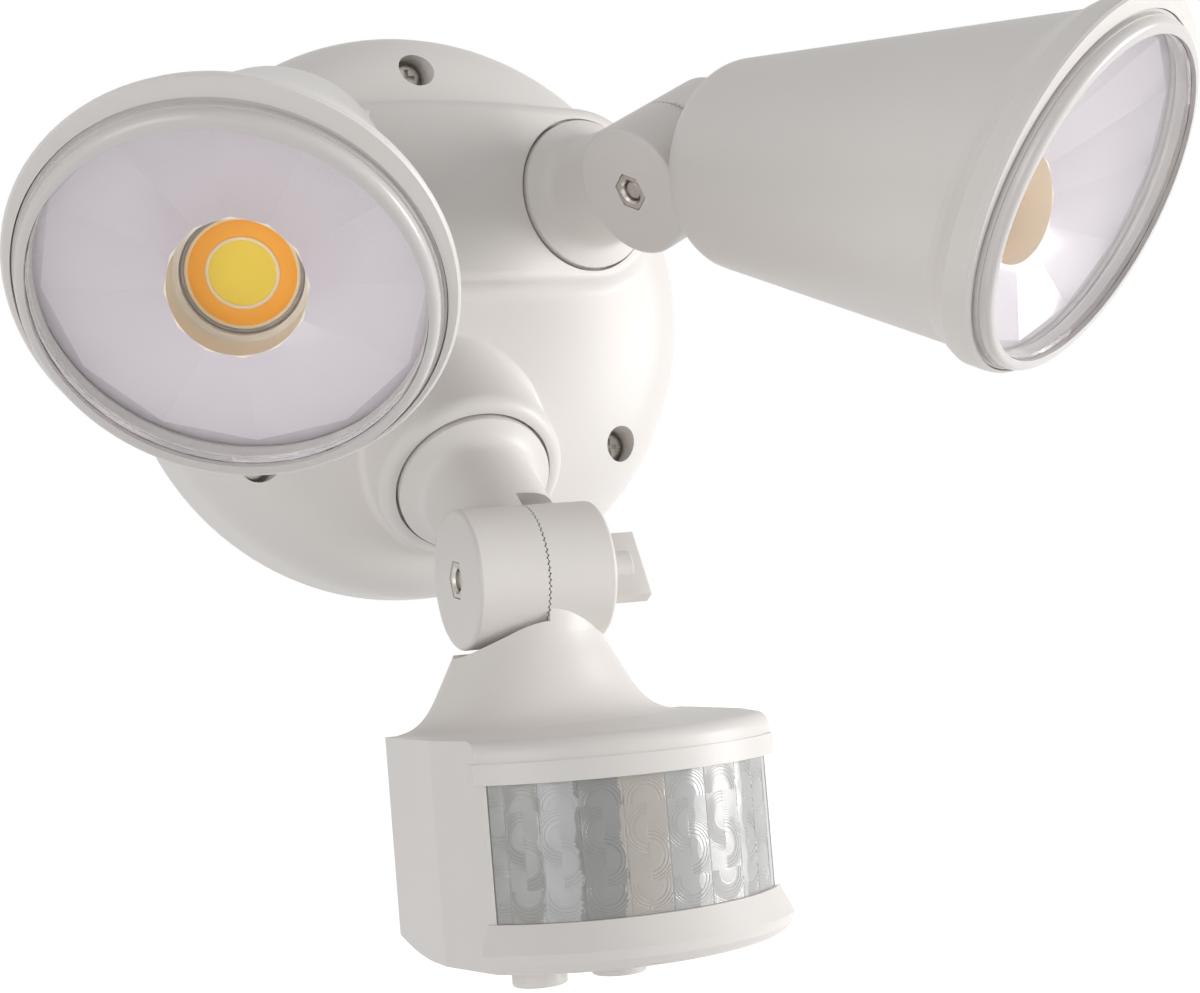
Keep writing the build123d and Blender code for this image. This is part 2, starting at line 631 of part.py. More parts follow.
def cone_ellipse(ahead, grow):
    """Centre offset and half axes of the slanted cut through the cone, made larger by grow."""
    slope = tan(radians(MOUTH_SLANT))
    lift = MOUTH_LIFT - HEAD_LIFT
    along = HEAD_LENGTH - lift * slope + ahead / cos(radians(MOUTH_SLANT))
    middle = CONE_START_RADIUS + CONE_SLOPE * along
    high = middle / (1 - CONE_SLOPE * slope)
    low = middle / (1 + CONE_SLOPE * slope)
    tall = (high + low) / 2 / cos(radians(MOUTH_SLANT))
    wide = middle / sqrt(1 - (CONE_SLOPE * slope) ** 2)
    offset = ((high - low) / 2 - lift) / cos(radians(MOUTH_SLANT))
    offset += ahead * tan(radians(MOUTH_SLANT))
    return offset, wide + grow, tall + grow


def cone_profile(back, inset, length):
    """Closed half section of the tapered body about the beam axis, in the plane X, Z."""
    Polyline(
        (0, length), (0, back), (CONE_START_RADIUS + CONE_SLOPE * back - inset, back),
        (CONE_START_RADIUS + CONE_SLOPE * length - inset, length), close=True,
    )


def mouth_disc(back, front, wide, tall):
    """An elliptical disc parallel to the mouth."""
    with BuildPart() as disc:
        with BuildSketch(mouth_plane(back)):
            Ellipse(wide, tall)
        extrude(amount=front - back)
    return disc.part


def facet_polygon(wide, tall):
    """The reflector's many-sided outline with its corners on this ellipse."""
    step = 360 / REFLECTOR_FACETS
    turns = [radians((n + 0.5) * step) for n in range(REFLECTOR_FACETS)]
    Polygon(*[(wide * cos(a), tall * sin(a)) for a in turns], align=None)


def mouth_dome(crown, edge, wide, tall):
    """An elliptical disc with a shallow spherical front that ends at this edge height."""
    radius = (tall ** 2 + (crown - edge) ** 2) / 2 / (crown - edge)
    with BuildPart() as dome:
        with BuildSketch(mouth_plane(LENS_BACK)):
            Ellipse(wide, tall)
        extrude(amount=crown - LENS_BACK)
        with Locations(mouth_plane(crown - radius).location):
            Sphere(radius, mode=Mode.INTERSECT)
    return dome.part


beam = Plane((0, HEAD_LIFT, 0), x_dir=(1, 0, 0), z_dir=(0, -1, 0))
beam_axis = Axis((0, HEAD_LIFT, 0), (0, 0, 1))
around_beam = Plane((0, HEAD_LIFT, 0))
around_led = Plane((0, LED_LIFT, 0))

with BuildPart() as bell:
    for back, front in zip(BELL_STATIONS, BELL_STATIONS[1:]):
        for ahead, grow in (back, front):
            with BuildSketch(mouth_plane(ahead)):
                shift, wide, tall = cone_ellipse(ahead, grow)
                with Locations((0, shift)):
                    Ellipse(wide, tall)
        loft(ruled=True)

with BuildPart() as head_cavity:
    with BuildSketch(beam):
        with BuildLine():
            cone_profile(HEAD_BACK + CAVITY_FLOOR, HEAD_WALL, HEAD_LENGTH + MOUTH_LONG)
        make_face()
        with Locations((SHELF_MIDDLE, SHELF_BACK + SHELF_THICKNESS / 2)):
            Rectangle(SHELF_WIDTH, SHELF_THICKNESS, mode=Mode.SUBTRACT)
    revolve(axis=beam_axis)
    cavity_back = head_cavity.faces().filter_by(GeomType.PLANE).sort_by(Axis.Z)[0]
    fillet(cavity_back.edges(), HEAD_BACK_ROUND - HEAD_WALL)
    split(bisect_by=mouth_plane(MOUTH_BORE_BACK), keep=Keep.BOTTOM)

with BuildPart() as head_knuckle:
    with BuildSketch(Plane.YZ.offset(KNUCKLE_GAP)):
        Circle(KNUCKLE_RADIUS)
        with Locations((0, (HEAD_BACK + HEAD_WALL) / 2)):
            Rectangle(2 * KNUCKLE_RADIUS, HEAD_BACK + HEAD_WALL)
    extrude(amount=KNUCKLE_HALF - KNUCKLE_GAP)
    fillet(head_knuckle.faces().sort_by(Axis.X)[-1].edges(), KNUCKLE_EDGE_ROUND)
    head_teeth = make_serration(0).moved(Location((KNUCKLE_GAP, 0, 0)))
    add(head_teeth, mode=Mode.SUBTRACT)
    with BuildSketch(Plane.YZ):
        Circle(PIVOT_HOLE_RADIUS)
    extrude(amount=KNUCKLE_HALF, mode=Mode.SUBTRACT)

with BuildPart() as head_housing:
    with BuildSketch(beam):
        with BuildLine():
            cone_profile(HEAD_BACK, 0, HEAD_LENGTH + MOUTH_LONG)
        make_face()
    revolve(axis=beam_axis)
    housing_back = head_housing.faces().filter_by(GeomType.PLANE).sort_by(Axis.Z)[0]
    fillet(housing_back.edges(), HEAD_BACK_ROUND)
    split(bisect_by=mouth_plane(BELL_STATIONS[1][0]), keep=Keep.BOTTOM)
    add(bell.part)
    add(head_cavity.part, mode=Mode.SUBTRACT)
    add(mouth_disc(MOUTH_BORE_BACK, LEDGE, *MOUTH_BORE), mode=Mode.SUBTRACT)
    add(mouth_disc(LEDGE, -LEDGE, *RECESS), mode=Mode.SUBTRACT)
    add(head_knuckle.part)

with BuildPart() as heat_sink:
    with BuildSketch(around_beam.offset(SHELF_BACK + SHELF_THICKNESS)):
        Circle(HEAT_SINK_RADIUS)
    extrude(amount=HEAT_SINK_TOP - SHELF_BACK - SHELF_THICKNESS)
    with BuildSketch(around_beam.offset(FIN_BACK)):
        Circle(FIN_HUB_RADIUS)
        with PolarLocations(FIN_HUB_RADIUS + FIN_LENGTH / 2, FIN_COUNT):
            Rectangle(FIN_LENGTH + 2, FIN_THICKNESS)
    extrude(amount=SHELF_BACK + SHELF_THICKNESS - FIN_BACK)

with BuildPart() as led_board:
    with BuildSketch(around_led.offset(HEAT_SINK_TOP)):
        Circle(LED_BOARD_RADIUS)
    extrude(amount=LED_BOARD_THICKNESS)

with BuildPart() as led_emitter:
    with BuildSketch(around_led.offset(HEAT_SINK_TOP + LED_BOARD_THICKNESS)):
        Circle(LED_RADIUS)
    extrude(amount=LED_PLANE - HEAT_SINK_TOP - LED_BOARD_THICKNESS)

with BuildPart() as led_holder:
    with BuildSketch(around_led.offset(HEAT_SINK_TOP)):
        Circle(HOLDER_RADIUS)
        Circle(LED_BOARD_RADIUS + BOARD_RECESS, mode=Mode.SUBTRACT)
    extrude(amount=LED_BOARD_THICKNESS)
    with BuildSketch(around_led.offset(HEAT_SINK_TOP + LED_BOARD_THICKNESS)):
        Circle(HOLDER_RADIUS)
        Circle(WELL_RADIUS, mode=Mode.SUBTRACT)
    extrude(amount=HOLDER_FLANGE)
    with BuildSketch(around_led.offset(HEAT_SINK_TOP + LED_BOARD_THICKNESS)):
        Circle(WELL_RADIUS + WELL_WALL)
        Circle(WELL_RADIUS, mode=Mode.SUBTRACT)
    extrude(amount=WELL_FRONT - HEAT_SINK_TOP - LED_BOARD_THICKNESS)
    with BuildSketch(around_led.offset(LED_PLANE)):
        Circle(WELL_RADIUS)
        Circle(LENSLET_RADIUS, mode=Mode.SUBTRACT)
    extrude(amount=WELL_STEP)

facet_radius = WELL_RADIUS / cos(radians(180 / REFLECTOR_FACETS))
reflector_wide = MOUTH_BORE[0] - BORE_GAP
reflector_tall = MOUTH_BORE[1] - BORE_GAP
with BuildPart() as reflector:
    with BuildSketch(around_led.offset(WELL_FRONT)):
        Circle(facet_radius + REFLECTOR_WALL)
    with BuildSketch(mouth_plane(REFLECTOR_FRONT)):
        Ellipse(reflector_wide, reflector_tall)
    loft(ruled=True)
    with BuildSketch(around_led.offset(WELL_FRONT)):
        facet_polygon(facet_radius, facet_radius)
    with BuildSketch(mouth_plane(REFLECTOR_FRONT)):
        facet_polygon(reflector_wide - REFLECTOR_WALL, reflector_tall - REFLECTOR_WALL)
    loft(ruled=True, mode=Mode.SUBTRACT)

with BuildPart() as lens_gasket:
    gasket_wide, gasket_tall = [size - RECESS_GAP for size in RECESS]
    add(mouth_disc(LEDGE, LENS_BACK, gasket_wide, gasket_tall))
    inside = mouth_disc(LEDGE, LENS_BACK, gasket_wide - GASKET_WIDTH, gasket_tall - GASKET_WIDTH)
    add(inside, mode=Mode.SUBTRACT)

with BuildPart() as lamp_lens:
    add(mouth_disc(LENS_BACK, LENS_STEP, *LENS_FLANGE))
    shoulder_wide, shoulder_tall = [size + LENS_SHOULDER for size in LENS_COLLAR]
    add(mouth_disc(LENS_STEP, LENS_LINE, shoulder_wide, shoulder_tall))
    add(mouth_disc(LENS_LINE, LENS_RIM, *LENS_COLLAR))
    rim_face = lamp_lens.faces().filter_by(GeomType.PLANE).sort_by(beam_axis)[-1]
    fillet(rim_face.edges(), LENS_RIM_ROUND)
    add(mouth_disc(LENS_GROOVE, LENS_RIM, *LENS_WINDOW), mode=Mode.SUBTRACT)
    add(mouth_dome(LENS_CROWN, LENS_GROOVE, *LENS_WINDOW))
    inner_crown = LENS_CROWN - LENS_WALL
    inner_window = [size - LENS_SHOULDER for size in LENS_WINDOW]
    add(mouth_dome(inner_crown, LENS_GROOVE - LENS_WALL, *inner_window), mode=Mode.SUBTRACT)

head_pieces = (
    (head_housing, "housing"), (heat_sink, "heat_sink"), (led_board, "led_board"),
    (led_emitter, "led_emitter"), (led_holder, "led_holder"), (reflector, "reflector"),
    (lens_gasket, "lens_gasket"), (lamp_lens, "lens"),
)
for side, place in (("right", RIGHT_HEAD), ("left", LEFT_HEAD)):
    for piece, name in head_pieces:
        write(piece.part, f"{side}_{name}", place)


# ---- motion sensor --------------------------------------------------------------------------
def plan(up):
    """Horizontal sketch plane at this height: X to the right, Y of the sketch forward."""
    return Plane.XZ.offset(-up)


def arc_point(radius, angle):
    """A point of the circle about the lens centre, at this angle from straight ahead."""
    return (radius * sin(radians(angle)), LENS_CENTRE + radius * cos(radians(angle)))


def sensor_outline(radius, angle, side_end):
    """Plan of the sensor: flat back and sides, slanted cheeks and a round front."""
    cheek = (SENSOR_HALF_WIDTH - (side_end - SENSOR_SIDE_FRONT) * CHEEK_SLOPE, side_end)
    left, middle, right = [arc_point(radius, a) for a in (-angle, 0, angle)]
    Polyline(
        right, cheek, (SENSOR_HALF_WIDTH, SENSOR_SIDE_FRONT), (SENSOR_HALF_WIDTH, SENSOR_BACK),
        (-SENSOR_HALF_WIDTH, SENSOR_BACK), (-SENSOR_HALF_WIDTH, SENSOR_SIDE_FRONT),
        (-cheek[0], cheek[1]), left,
    )
    ThreePointArc(left, middle, right)


def window_wedge():
    """Plan of the window opening: a triangle that opens forward from the lens centre."""
    left, right = [arc_point(2 * LENS_RADIUS, a) for a in (-OPENING_ANGLE, OPENING_ANGLE)]
    Polyline((0, LENS_CENTRE), left, right, close=True)


with BuildPart() as sensor_top:
    for top, bottom, radius in BROW_BANDS:
        with BuildSketch(plan(top)):
            with BuildLine():
                sensor_outline(radius, BROW_ANGLE, BROW_START)
            make_face()
        extrude(amount=top - bottom)
    with BuildSketch(plan(BROW_EDGE)):
        with BuildLine():
            sensor_outline(LENS_RADIUS, LENS_HALF_ANGLE, CHEEK_END)
        make_face()
        with BuildLine():
            window_wedge()
        make_face(mode=Mode.SUBTRACT)
    extrude(amount=BROW_EDGE - SENSOR_SEAM)
    brow = sensor_top.edges().filter_by(GeomType.CIRCLE).sort_by(Axis.Y)[-1]
    fillet(brow, BROW_ROUND)
    for up, wide, deep in TOWER_STATIONS:
        with BuildSketch(plan(up)):
            with Locations((0, SENSOR_BACK * (TOWER_TOP - up) / (TOWER_TOP - SENSOR_TOP))):
                Ellipse(wide, deep)
    loft()
    with BuildSketch(plan(TOWER_SHOULDER)):
        Ellipse(TOWER_WIDE, TOWER_DEEP)
    extrude(amount=TOWER_SHOULDER - TOWER_TOP)
    with BuildSketch(Plane.YZ):
        with BuildLine():
            Polyline(
                (0, TOWER_BACK), (SENSOR_TOP, SENSOR_BACK), (SENSOR_BOTTOM, SENSOR_BACK),
                (SENSOR_BOTTOM, -SENSOR_HALF_WIDTH), (0, -SENSOR_HALF_WIDTH), close=True,
            )
        make_face()
    extrude(amount=SENSOR_HALF_WIDTH, both=True, mode=Mode.SUBTRACT)

with BuildPart() as seam_front:
    with BuildSketch(plan(0)):
        with BuildLine():
            corner = (SENSOR_HALF_WIDTH + 10, SENSOR_SIDE_FRONT)
            left_corner = (-corner[0], corner[1])
            ThreePointArc(left_corner, (0, SEAM_MIDDLE), corner)
            Polyline(corner, (corner[0], 80), (-corner[0], 80), left_corner)
        make_face()
    extrude(amount=-SENSOR_BOTTOM)

with BuildPart() as sensor_lid:
    add(sensor_top.part)
    add(seam_front.part, mode=Mode.INTERSECT)

with BuildPart() as sensor_bracket:
    add(sensor_top.part)
    add(seam_front.part, mode=Mode.SUBTRACT)
    with BuildSketch(Plane.YZ.offset(KNUCKLE_GAP)):
        Circle(SADDLE_RADIUS)
    extrude(amount=-SENSOR_HALF_WIDTH, mode=Mode.SUBTRACT)
    with BuildSketch(Plane.YZ.offset(KNUCKLE_GAP)):
        Circle(KNUCKLE_RADIUS)
    extrude(amount=KNUCKLE_HALF - KNUCKLE_GAP)
    wing_face = sensor_bracket.faces().filter_by(GeomType.PLANE).filter_by(Axis.X)
    wing_rim = wing_face.sort_by(lambda f: abs(f.center().X - KNUCKLE_HALF))[0].edges()
    fillet(wing_rim.filter_by(GeomType.CIRCLE), KNUCKLE_EDGE_ROUND)
    sensor_teeth = make_serration(-SENSOR_PITCH).moved(Location((KNUCKLE_GAP, 0, 0)))
    add(sensor_teeth, mode=Mode.SUBTRACT)
    with BuildSketch(Plane.YZ):
        Circle(PIVOT_HOLE_RADIUS)
    extrude(amount=KNUCKLE_HALF, mode=Mode.SUBTRACT)

with BuildPart() as sensor_front:
    with BuildSketch(plan(SENSOR_SEAM)):
        with BuildLine():
            sensor_outline(LENS_RADIUS, LENS_HALF_ANGLE, CHEEK_END)
        make_face()
    extrude(amount=SENSOR_SEAM - SENSOR_BOTTOM)
    with BuildSketch(Plane.YZ):
        with BuildLine():
            back_corner = (SENSOR_BOTTOM + HEEL_RISE, SENSOR_BACK)
            keel = (SENSOR_BOTTOM, SENSOR_SIDE_FRONT)
            ThreePointArc(back_corner, (SENSOR_BOTTOM + HEEL_RISE / 5, HEEL_MIDDLE), keel)
            Polyline(keel, (SENSOR_BOTTOM, 80), (0, 80), (0, SENSOR_BACK), back_corner)
        make_face()
    extrude(amount=2 * SENSOR_HALF_WIDTH, both=True, mode=Mode.INTERSECT)
    with BuildSketch(Plane((0, 0, LENS_CENTRE)).rotated((0, SKIRT_ANGLE, 0))):
        Polygon(
            (0, SENSOR_WINDOW_BOTTOM), (SKIRT_TOP_RADIUS, SENSOR_WINDOW_BOTTOM),
            (SKIRT_RADIUS, SENSOR_BOTTOM + 4.2), (SKIRT_RADIUS - 0.6, SENSOR_BOTTOM + 2.2),
            (SKIRT_RADIUS - 2.2, SENSOR_BOTTOM + 0.6), (SKIRT_RADIUS - 4.2, SENSOR_BOTTOM),
            (0, SENSOR_BOTTOM), align=None,
        )
    lens_axis = Axis((0, 0, LENS_CENTRE), (0, 1, 0))
    revolve(axis=lens_axis, revolution_arc=SKIRT_SWEEP)
    with BuildSketch(plan(SENSOR_SEAM)):
        with BuildLine():
            sensor_outline(LENS_RADIUS, LENS_HALF_ANGLE, CHEEK_END)
        make_face()
        offset(amount=-SENSOR_WALL)
    extrude(amount=SENSOR_SEAM - SENSOR_BOTTOM - SENSOR_WALL - HEEL_RISE, mode=Mode.SUBTRACT)
    with BuildSketch(plan(SENSOR_SEAM)):
        with BuildLine():
            window_wedge()
        make_face()
    extrude(amount=SENSOR_SEAM - SENSOR_WINDOW_BOTTOM, mode=Mode.SUBTRACT)
    with BuildSketch(plan(SENSOR_BOTTOM)):
        with Locations(*KNOB_SPOTS):
            Circle(KNOB_SHAFT_RADIUS + SPIGOT_CLEARANCE)
    extrude(amount=-KNOB_HOLE_DEPTH, mode=Mode.SUBTRACT)

with BuildPart() as fresnel_lens:
    with BuildSketch(plan(BROW_EDGE - 0.1)):
        with BuildLine():
            window_wedge()
        make_face()
        with Locations((0, LENS_CENTRE)):
            Circle(LENS_RADIUS - 0.1, mode=Mode.INTERSECT)
            Circle(LENS_RADIUS - 0.1 - FILM_THICKNESS, mode=Mode.SUBTRACT)
    extrude(amount=BROW_EDGE - 0.1 - SENSOR_WINDOW_BOTTOM)

board_front = SENSOR_BACK + SENSOR_WALL + SENSOR_BOARD_STAND + BOARD_THICKNESS
with BuildPart() as sensor_board:
    with BuildSketch(Plane((0, SENSOR_BOARD_Y, board_front))):
        Rectangle(SENSOR_BOARD_WIDTH, SENSOR_BOARD_HEIGHT)
    extrude(amount=-BOARD_THICKNESS)
    with BuildSketch(Plane((0, SENSOR_BOARD_Y, SENSOR_BACK + SENSOR_WALL))):
        post_wide = SENSOR_BOARD_WIDTH - BOARD_INSET
        with GridLocations(post_wide, SENSOR_BOARD_HEIGHT - BOARD_INSET, 2, 2):
            Circle(POST_RADIUS)
    extrude(amount=SENSOR_BOARD_STAND)

pir_front = board_front + PIR_FLANGE
with BuildPart() as pir_element:
    with BuildSketch(Plane((0, PIR_Y, board_front))):
        Circle(PIR_RADIUS + PIR_FLANGE)
    extrude(amount=PIR_FLANGE)
    with BuildSketch(Plane((0, PIR_Y, pir_front))):
        Circle(PIR_RADIUS)
    extrude(amount=PIR_HEIGHT)
    with BuildSketch(Plane((0, PIR_Y, pir_front + PIR_HEIGHT))):
        Rectangle(*PIR_WINDOW[:2])
    extrude(amount=-PIR_WINDOW[2], mode=Mode.SUBTRACT)

with BuildPart() as knob:
    with BuildSketch(plan(SENSOR_BOTTOM - KNOB_GAP)):
        Circle(KNOB_RADIUS)
    extrude(amount=KNOB_HEIGHT)
    fillet(knob.faces().sort_by(Axis.Y)[0].edges(), KNOB_ROUND)
    with BuildSketch(plan(SENSOR_BOTTOM - KNOB_GAP - KNOB_HEIGHT)):
        Rectangle(*KNOB_SLOT[:2])
    extrude(amount=-KNOB_SLOT[2], mode=Mode.SUBTRACT)
    with BuildSketch(plan(SENSOR_BOTTOM - KNOB_GAP)):
        Circle(KNOB_SHAFT_RADIUS)
    extrude(amount=-KNOB_SHAFT_LENGTH)

sensor_pieces = (
    (sensor_bracket, "sensor_bracket"), (sensor_lid, "sensor_lid"),
    (sensor_front, "sensor_front"), (fresnel_lens, "fresnel_lens"),
    (sensor_board, "sensor_board"), (pir_element, "pir_element"),
)
for piece, name in sensor_pieces:
    write(piece.part, name, SENSOR_HEAD)
for spot, name in zip(KNOB_SPOTS, ("lux_knob", "time_knob")):
    write(knob.part, name, SENSOR_HEAD * Location((spot[0], 0, spot[1])))
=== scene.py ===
"""Scene for a motion sensor security light: two lamp heads and a sensor on a wall base.

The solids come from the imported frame.  This script dresses them, adds the fine moulded and
optical detail, and sets the studio and the camera.
"""

import json
import logging
import math
from dataclasses import dataclass
from enum import Enum
from typing import Callable, Sequence

import bmesh
import bpy
from mathutils import Matrix, Vector


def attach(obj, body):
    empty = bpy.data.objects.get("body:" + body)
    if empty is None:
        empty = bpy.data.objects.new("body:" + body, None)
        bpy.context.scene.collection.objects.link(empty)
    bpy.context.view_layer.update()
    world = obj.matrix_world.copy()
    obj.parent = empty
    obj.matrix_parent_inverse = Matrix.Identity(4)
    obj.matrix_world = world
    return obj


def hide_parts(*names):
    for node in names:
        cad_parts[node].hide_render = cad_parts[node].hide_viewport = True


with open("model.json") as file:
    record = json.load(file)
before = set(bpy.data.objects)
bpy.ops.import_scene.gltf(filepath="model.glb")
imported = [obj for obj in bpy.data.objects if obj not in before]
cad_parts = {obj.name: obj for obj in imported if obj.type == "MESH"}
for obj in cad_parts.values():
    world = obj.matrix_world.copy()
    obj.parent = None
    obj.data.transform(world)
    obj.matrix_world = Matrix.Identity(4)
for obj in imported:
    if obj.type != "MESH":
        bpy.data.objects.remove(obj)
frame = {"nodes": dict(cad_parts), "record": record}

LOG = logging.getLogger("security_light")
MM = 0.001
ROUND_STEPS = 96
OVAL_STEPS = 192
EVEN = 0.5
Colour = tuple[float, float, float, float]


class SocketKind(Enum):
    """Kinds of socket that the shared effects use."""

    NUMBER = "NodeSocketFloat"
    COLOUR = "NodeSocketColor"


class Arm(Enum):
    """The three arms on the wall base."""

    RIGHT = "right"
    LEFT = "left"
    SENSOR = "sensor"


# ---- shared effects -------------------------------------------------------------------------
class Effect:
    """A shader node group that several finishes share."""

    def __init__(self, name: str) -> None:
        """Start an empty group.

        Args:
            name: Name of the node group.
        """
        self.tree = bpy.data.node_groups.new(name, "ShaderNodeTree")
        self.inputs = self.tree.nodes.new("NodeGroupInput")
        self.outputs = self.tree.nodes.new("NodeGroupOutput")

    def takes(self, name: str, kind: SocketKind, value: float | Colour) -> None:
        """Add an input socket with its default value."""
        socket = self.tree.interface.new_socket(name, in_out="INPUT", socket_type=kind.value)
        socket.default_value = value

    def gives(self, name: str, kind: SocketKind) -> None:
        """Add an output socket."""
        self.tree.interface.new_socket(name, in_out="OUTPUT", socket_type=kind.value)

    def node(self, kind: str, **values: object) -> bpy.types.Node:
        """Add a node and set its properties."""
        return add_node(self.tree, kind, **values)

    def wire(self, start: bpy.types.NodeSocket, end: bpy.types.NodeSocket) -> None:
        """Join two sockets."""
        self.tree.links.new(start, end)


def add_node(tree: bpy.types.NodeTree, kind: str, **values: object) -> bpy.types.Node:
    """Add a node to a tree.

    Args:
        tree: The tree that takes the node.
        kind: Blender's name of the node type.
        values: Properties of the node by name.

    Returns:
        The new node.
    """
    made = tree.nodes.new(kind)
    for key, value in values.items():
        setattr(made, key, value)
    return made


def math_node(
    tree: bpy.types.NodeTree,
    operation: str,
    first: bpy.types.NodeSocket | float,
    second: bpy.types.NodeSocket | float = 0.0,
) -> bpy.types.NodeSocket:
    """Add a math node.

    Args:
        tree: The tree that takes the node.
        operation: Blender's name of the operation.
        first: A socket or a number.
        second: A socket or a number.

    Returns:
        The socket with the result.
    """
    made = add_node(tree, "ShaderNodeMath", operation=operation)
    for place, value in enumerate((first, second)):
        if isinstance(value, (int, float)):
            made.inputs[place].default_value = value
        else:
            tree.links.new(value, made.inputs[place])
    return made.outputs[0]


def mould_grain() -> Effect:
    """Fine spark-eroded texture of a moulding, with slow tone and gloss drift.

    Returns:
        A group that puts out colour, roughness and height.
    """
    grain_detail, grain_sharpness = 3.0, 0.6
    drift_scale, drift_detail = 18.0, 2.0
    shade_share, speckle_share = 0.55, 0.12
    effect = Effect("mould_grain")
    effect.takes("Grain Size", SocketKind.NUMBER, 2600.0)
    effect.takes("Base", SocketKind.COLOUR, (0.8, 0.8, 0.8, 1.0))
    effect.takes("Shade", SocketKind.COLOUR, (0.7, 0.7, 0.7, 1.0))
    effect.takes("Gloss", SocketKind.NUMBER, 0.4)
    effect.takes("Gloss Drift", SocketKind.NUMBER, 0.08)
    effect.gives("Colour", SocketKind.COLOUR)
    effect.gives("Roughness", SocketKind.NUMBER)
    effect.gives("Height", SocketKind.NUMBER)
    place = effect.node("ShaderNodeTexCoord")
    grain = effect.node("ShaderNodeTexNoise")
    grain.inputs["Detail"].default_value = grain_detail
    grain.inputs["Roughness"].default_value = grain_sharpness
    effect.wire(place.outputs["Object"], grain.inputs["Vector"])
    effect.wire(effect.inputs.outputs["Grain Size"], grain.inputs["Scale"])
    drift = effect.node("ShaderNodeTexNoise")
    drift.inputs["Scale"].default_value = drift_scale
    drift.inputs["Detail"].default_value = drift_detail
    effect.wire(place.outputs["Object"], drift.inputs["Vector"])
    flow = effect.node("ShaderNodeMix", data_type="RGBA")
    mask = math_node(effect.tree, "MULTIPLY", drift.outputs["Fac"], shade_share)
    effect.wire(mask, flow.inputs["Factor"])
    effect.wire(effect.inputs.outputs["Base"], flow.inputs["A"])
    effect.wire(effect.inputs.outputs["Shade"], flow.inputs["B"])
    effect.wire(flow.outputs["Result"], effect.outputs.inputs["Colour"])
    centred = math_node(effect.tree, "SUBTRACT", drift.outputs["Fac"], EVEN)
    swing = math_node(effect.tree, "MULTIPLY", centred, effect.inputs.outputs["Gloss Drift"])
    speck = math_node(effect.tree, "SUBTRACT", grain.outputs["Fac"], EVEN)
    speckle = math_node(effect.tree, "MULTIPLY", speck, speckle_share)
    rough = math_node(effect.tree, "ADD", effect.inputs.outputs["Gloss"], swing)
    effect.wire(
        math_node(effect.tree, "ADD", rough, speckle), effect.outputs.inputs["Roughness"]
    )
    effect.wire(grain.outputs["Fac"], effect.outputs.inputs["Height"])
    return effect


def turned_metal() -> Effect:
    """Fine drawn streaks of a machined steel part.

    Returns:
        A group that puts out colour, roughness and height.
    """
    streak_stretch, streak_detail = (0.08, 1.0, 1.0), 4.0
    least_roughness, roughness_swing = 0.18, 0.25
    effect = Effect("turned_metal")
    effect.takes("Streaks", SocketKind.NUMBER, 900.0)
    effect.takes("Bright", SocketKind.COLOUR, (0.75, 0.74, 0.72, 1.0))
    effect.takes("Dull", SocketKind.COLOUR, (0.55, 0.53, 0.5, 1.0))
    effect.gives("Colour", SocketKind.COLOUR)
    effect.gives("Roughness", SocketKind.NUMBER)
    effect.gives("Height", SocketKind.NUMBER)
    place = effect.node("ShaderNodeTexCoord")
    stretch = effect.node("ShaderNodeMapping")
    stretch.inputs["Scale"].default_value = streak_stretch
    effect.wire(place.outputs["Object"], stretch.inputs["Vector"])
    streaks = effect.node("ShaderNodeTexNoise")
    streaks.inputs["Detail"].default_value = streak_detail
    effect.wire(stretch.outputs["Vector"], streaks.inputs["Vector"])
    effect.wire(effect.inputs.outputs["Streaks"], streaks.inputs["Scale"])
    tone = effect.node("ShaderNodeMix", data_type="RGBA")
    effect.wire(streaks.outputs["Fac"], tone.inputs["Factor"])
    effect.wire(effect.inputs.outputs["Bright"], tone.inputs["A"])
    effect.wire(effect.inputs.outputs["Dull"], tone.inputs["B"])
    effect.wire(tone.outputs["Result"], effect.outputs.inputs["Colour"])
    scaled = math_node(effect.tree, "MULTIPLY", streaks.outputs["Fac"], roughness_swing)
    roughness = math_node(effect.tree, "ADD", scaled, least_roughness)
    effect.wire(roughness, effect.outputs.inputs["Roughness"])
    effect.wire(streaks.outputs["Fac"], effect.outputs.inputs["Height"])
    return effect


EFFECTS: dict[str, Effect] = {}


def shared(maker: Callable[[], Effect]) -> bpy.types.NodeTree:
    """The node group of an effect, built on first use.

    Args:
        maker: The function that builds the effect.

    Returns:
        The group's node tree.
    """
    if maker.__name__ not in EFFECTS:
        EFFECTS[maker.__name__] = maker()
    return EFFECTS[maker.__name__].tree


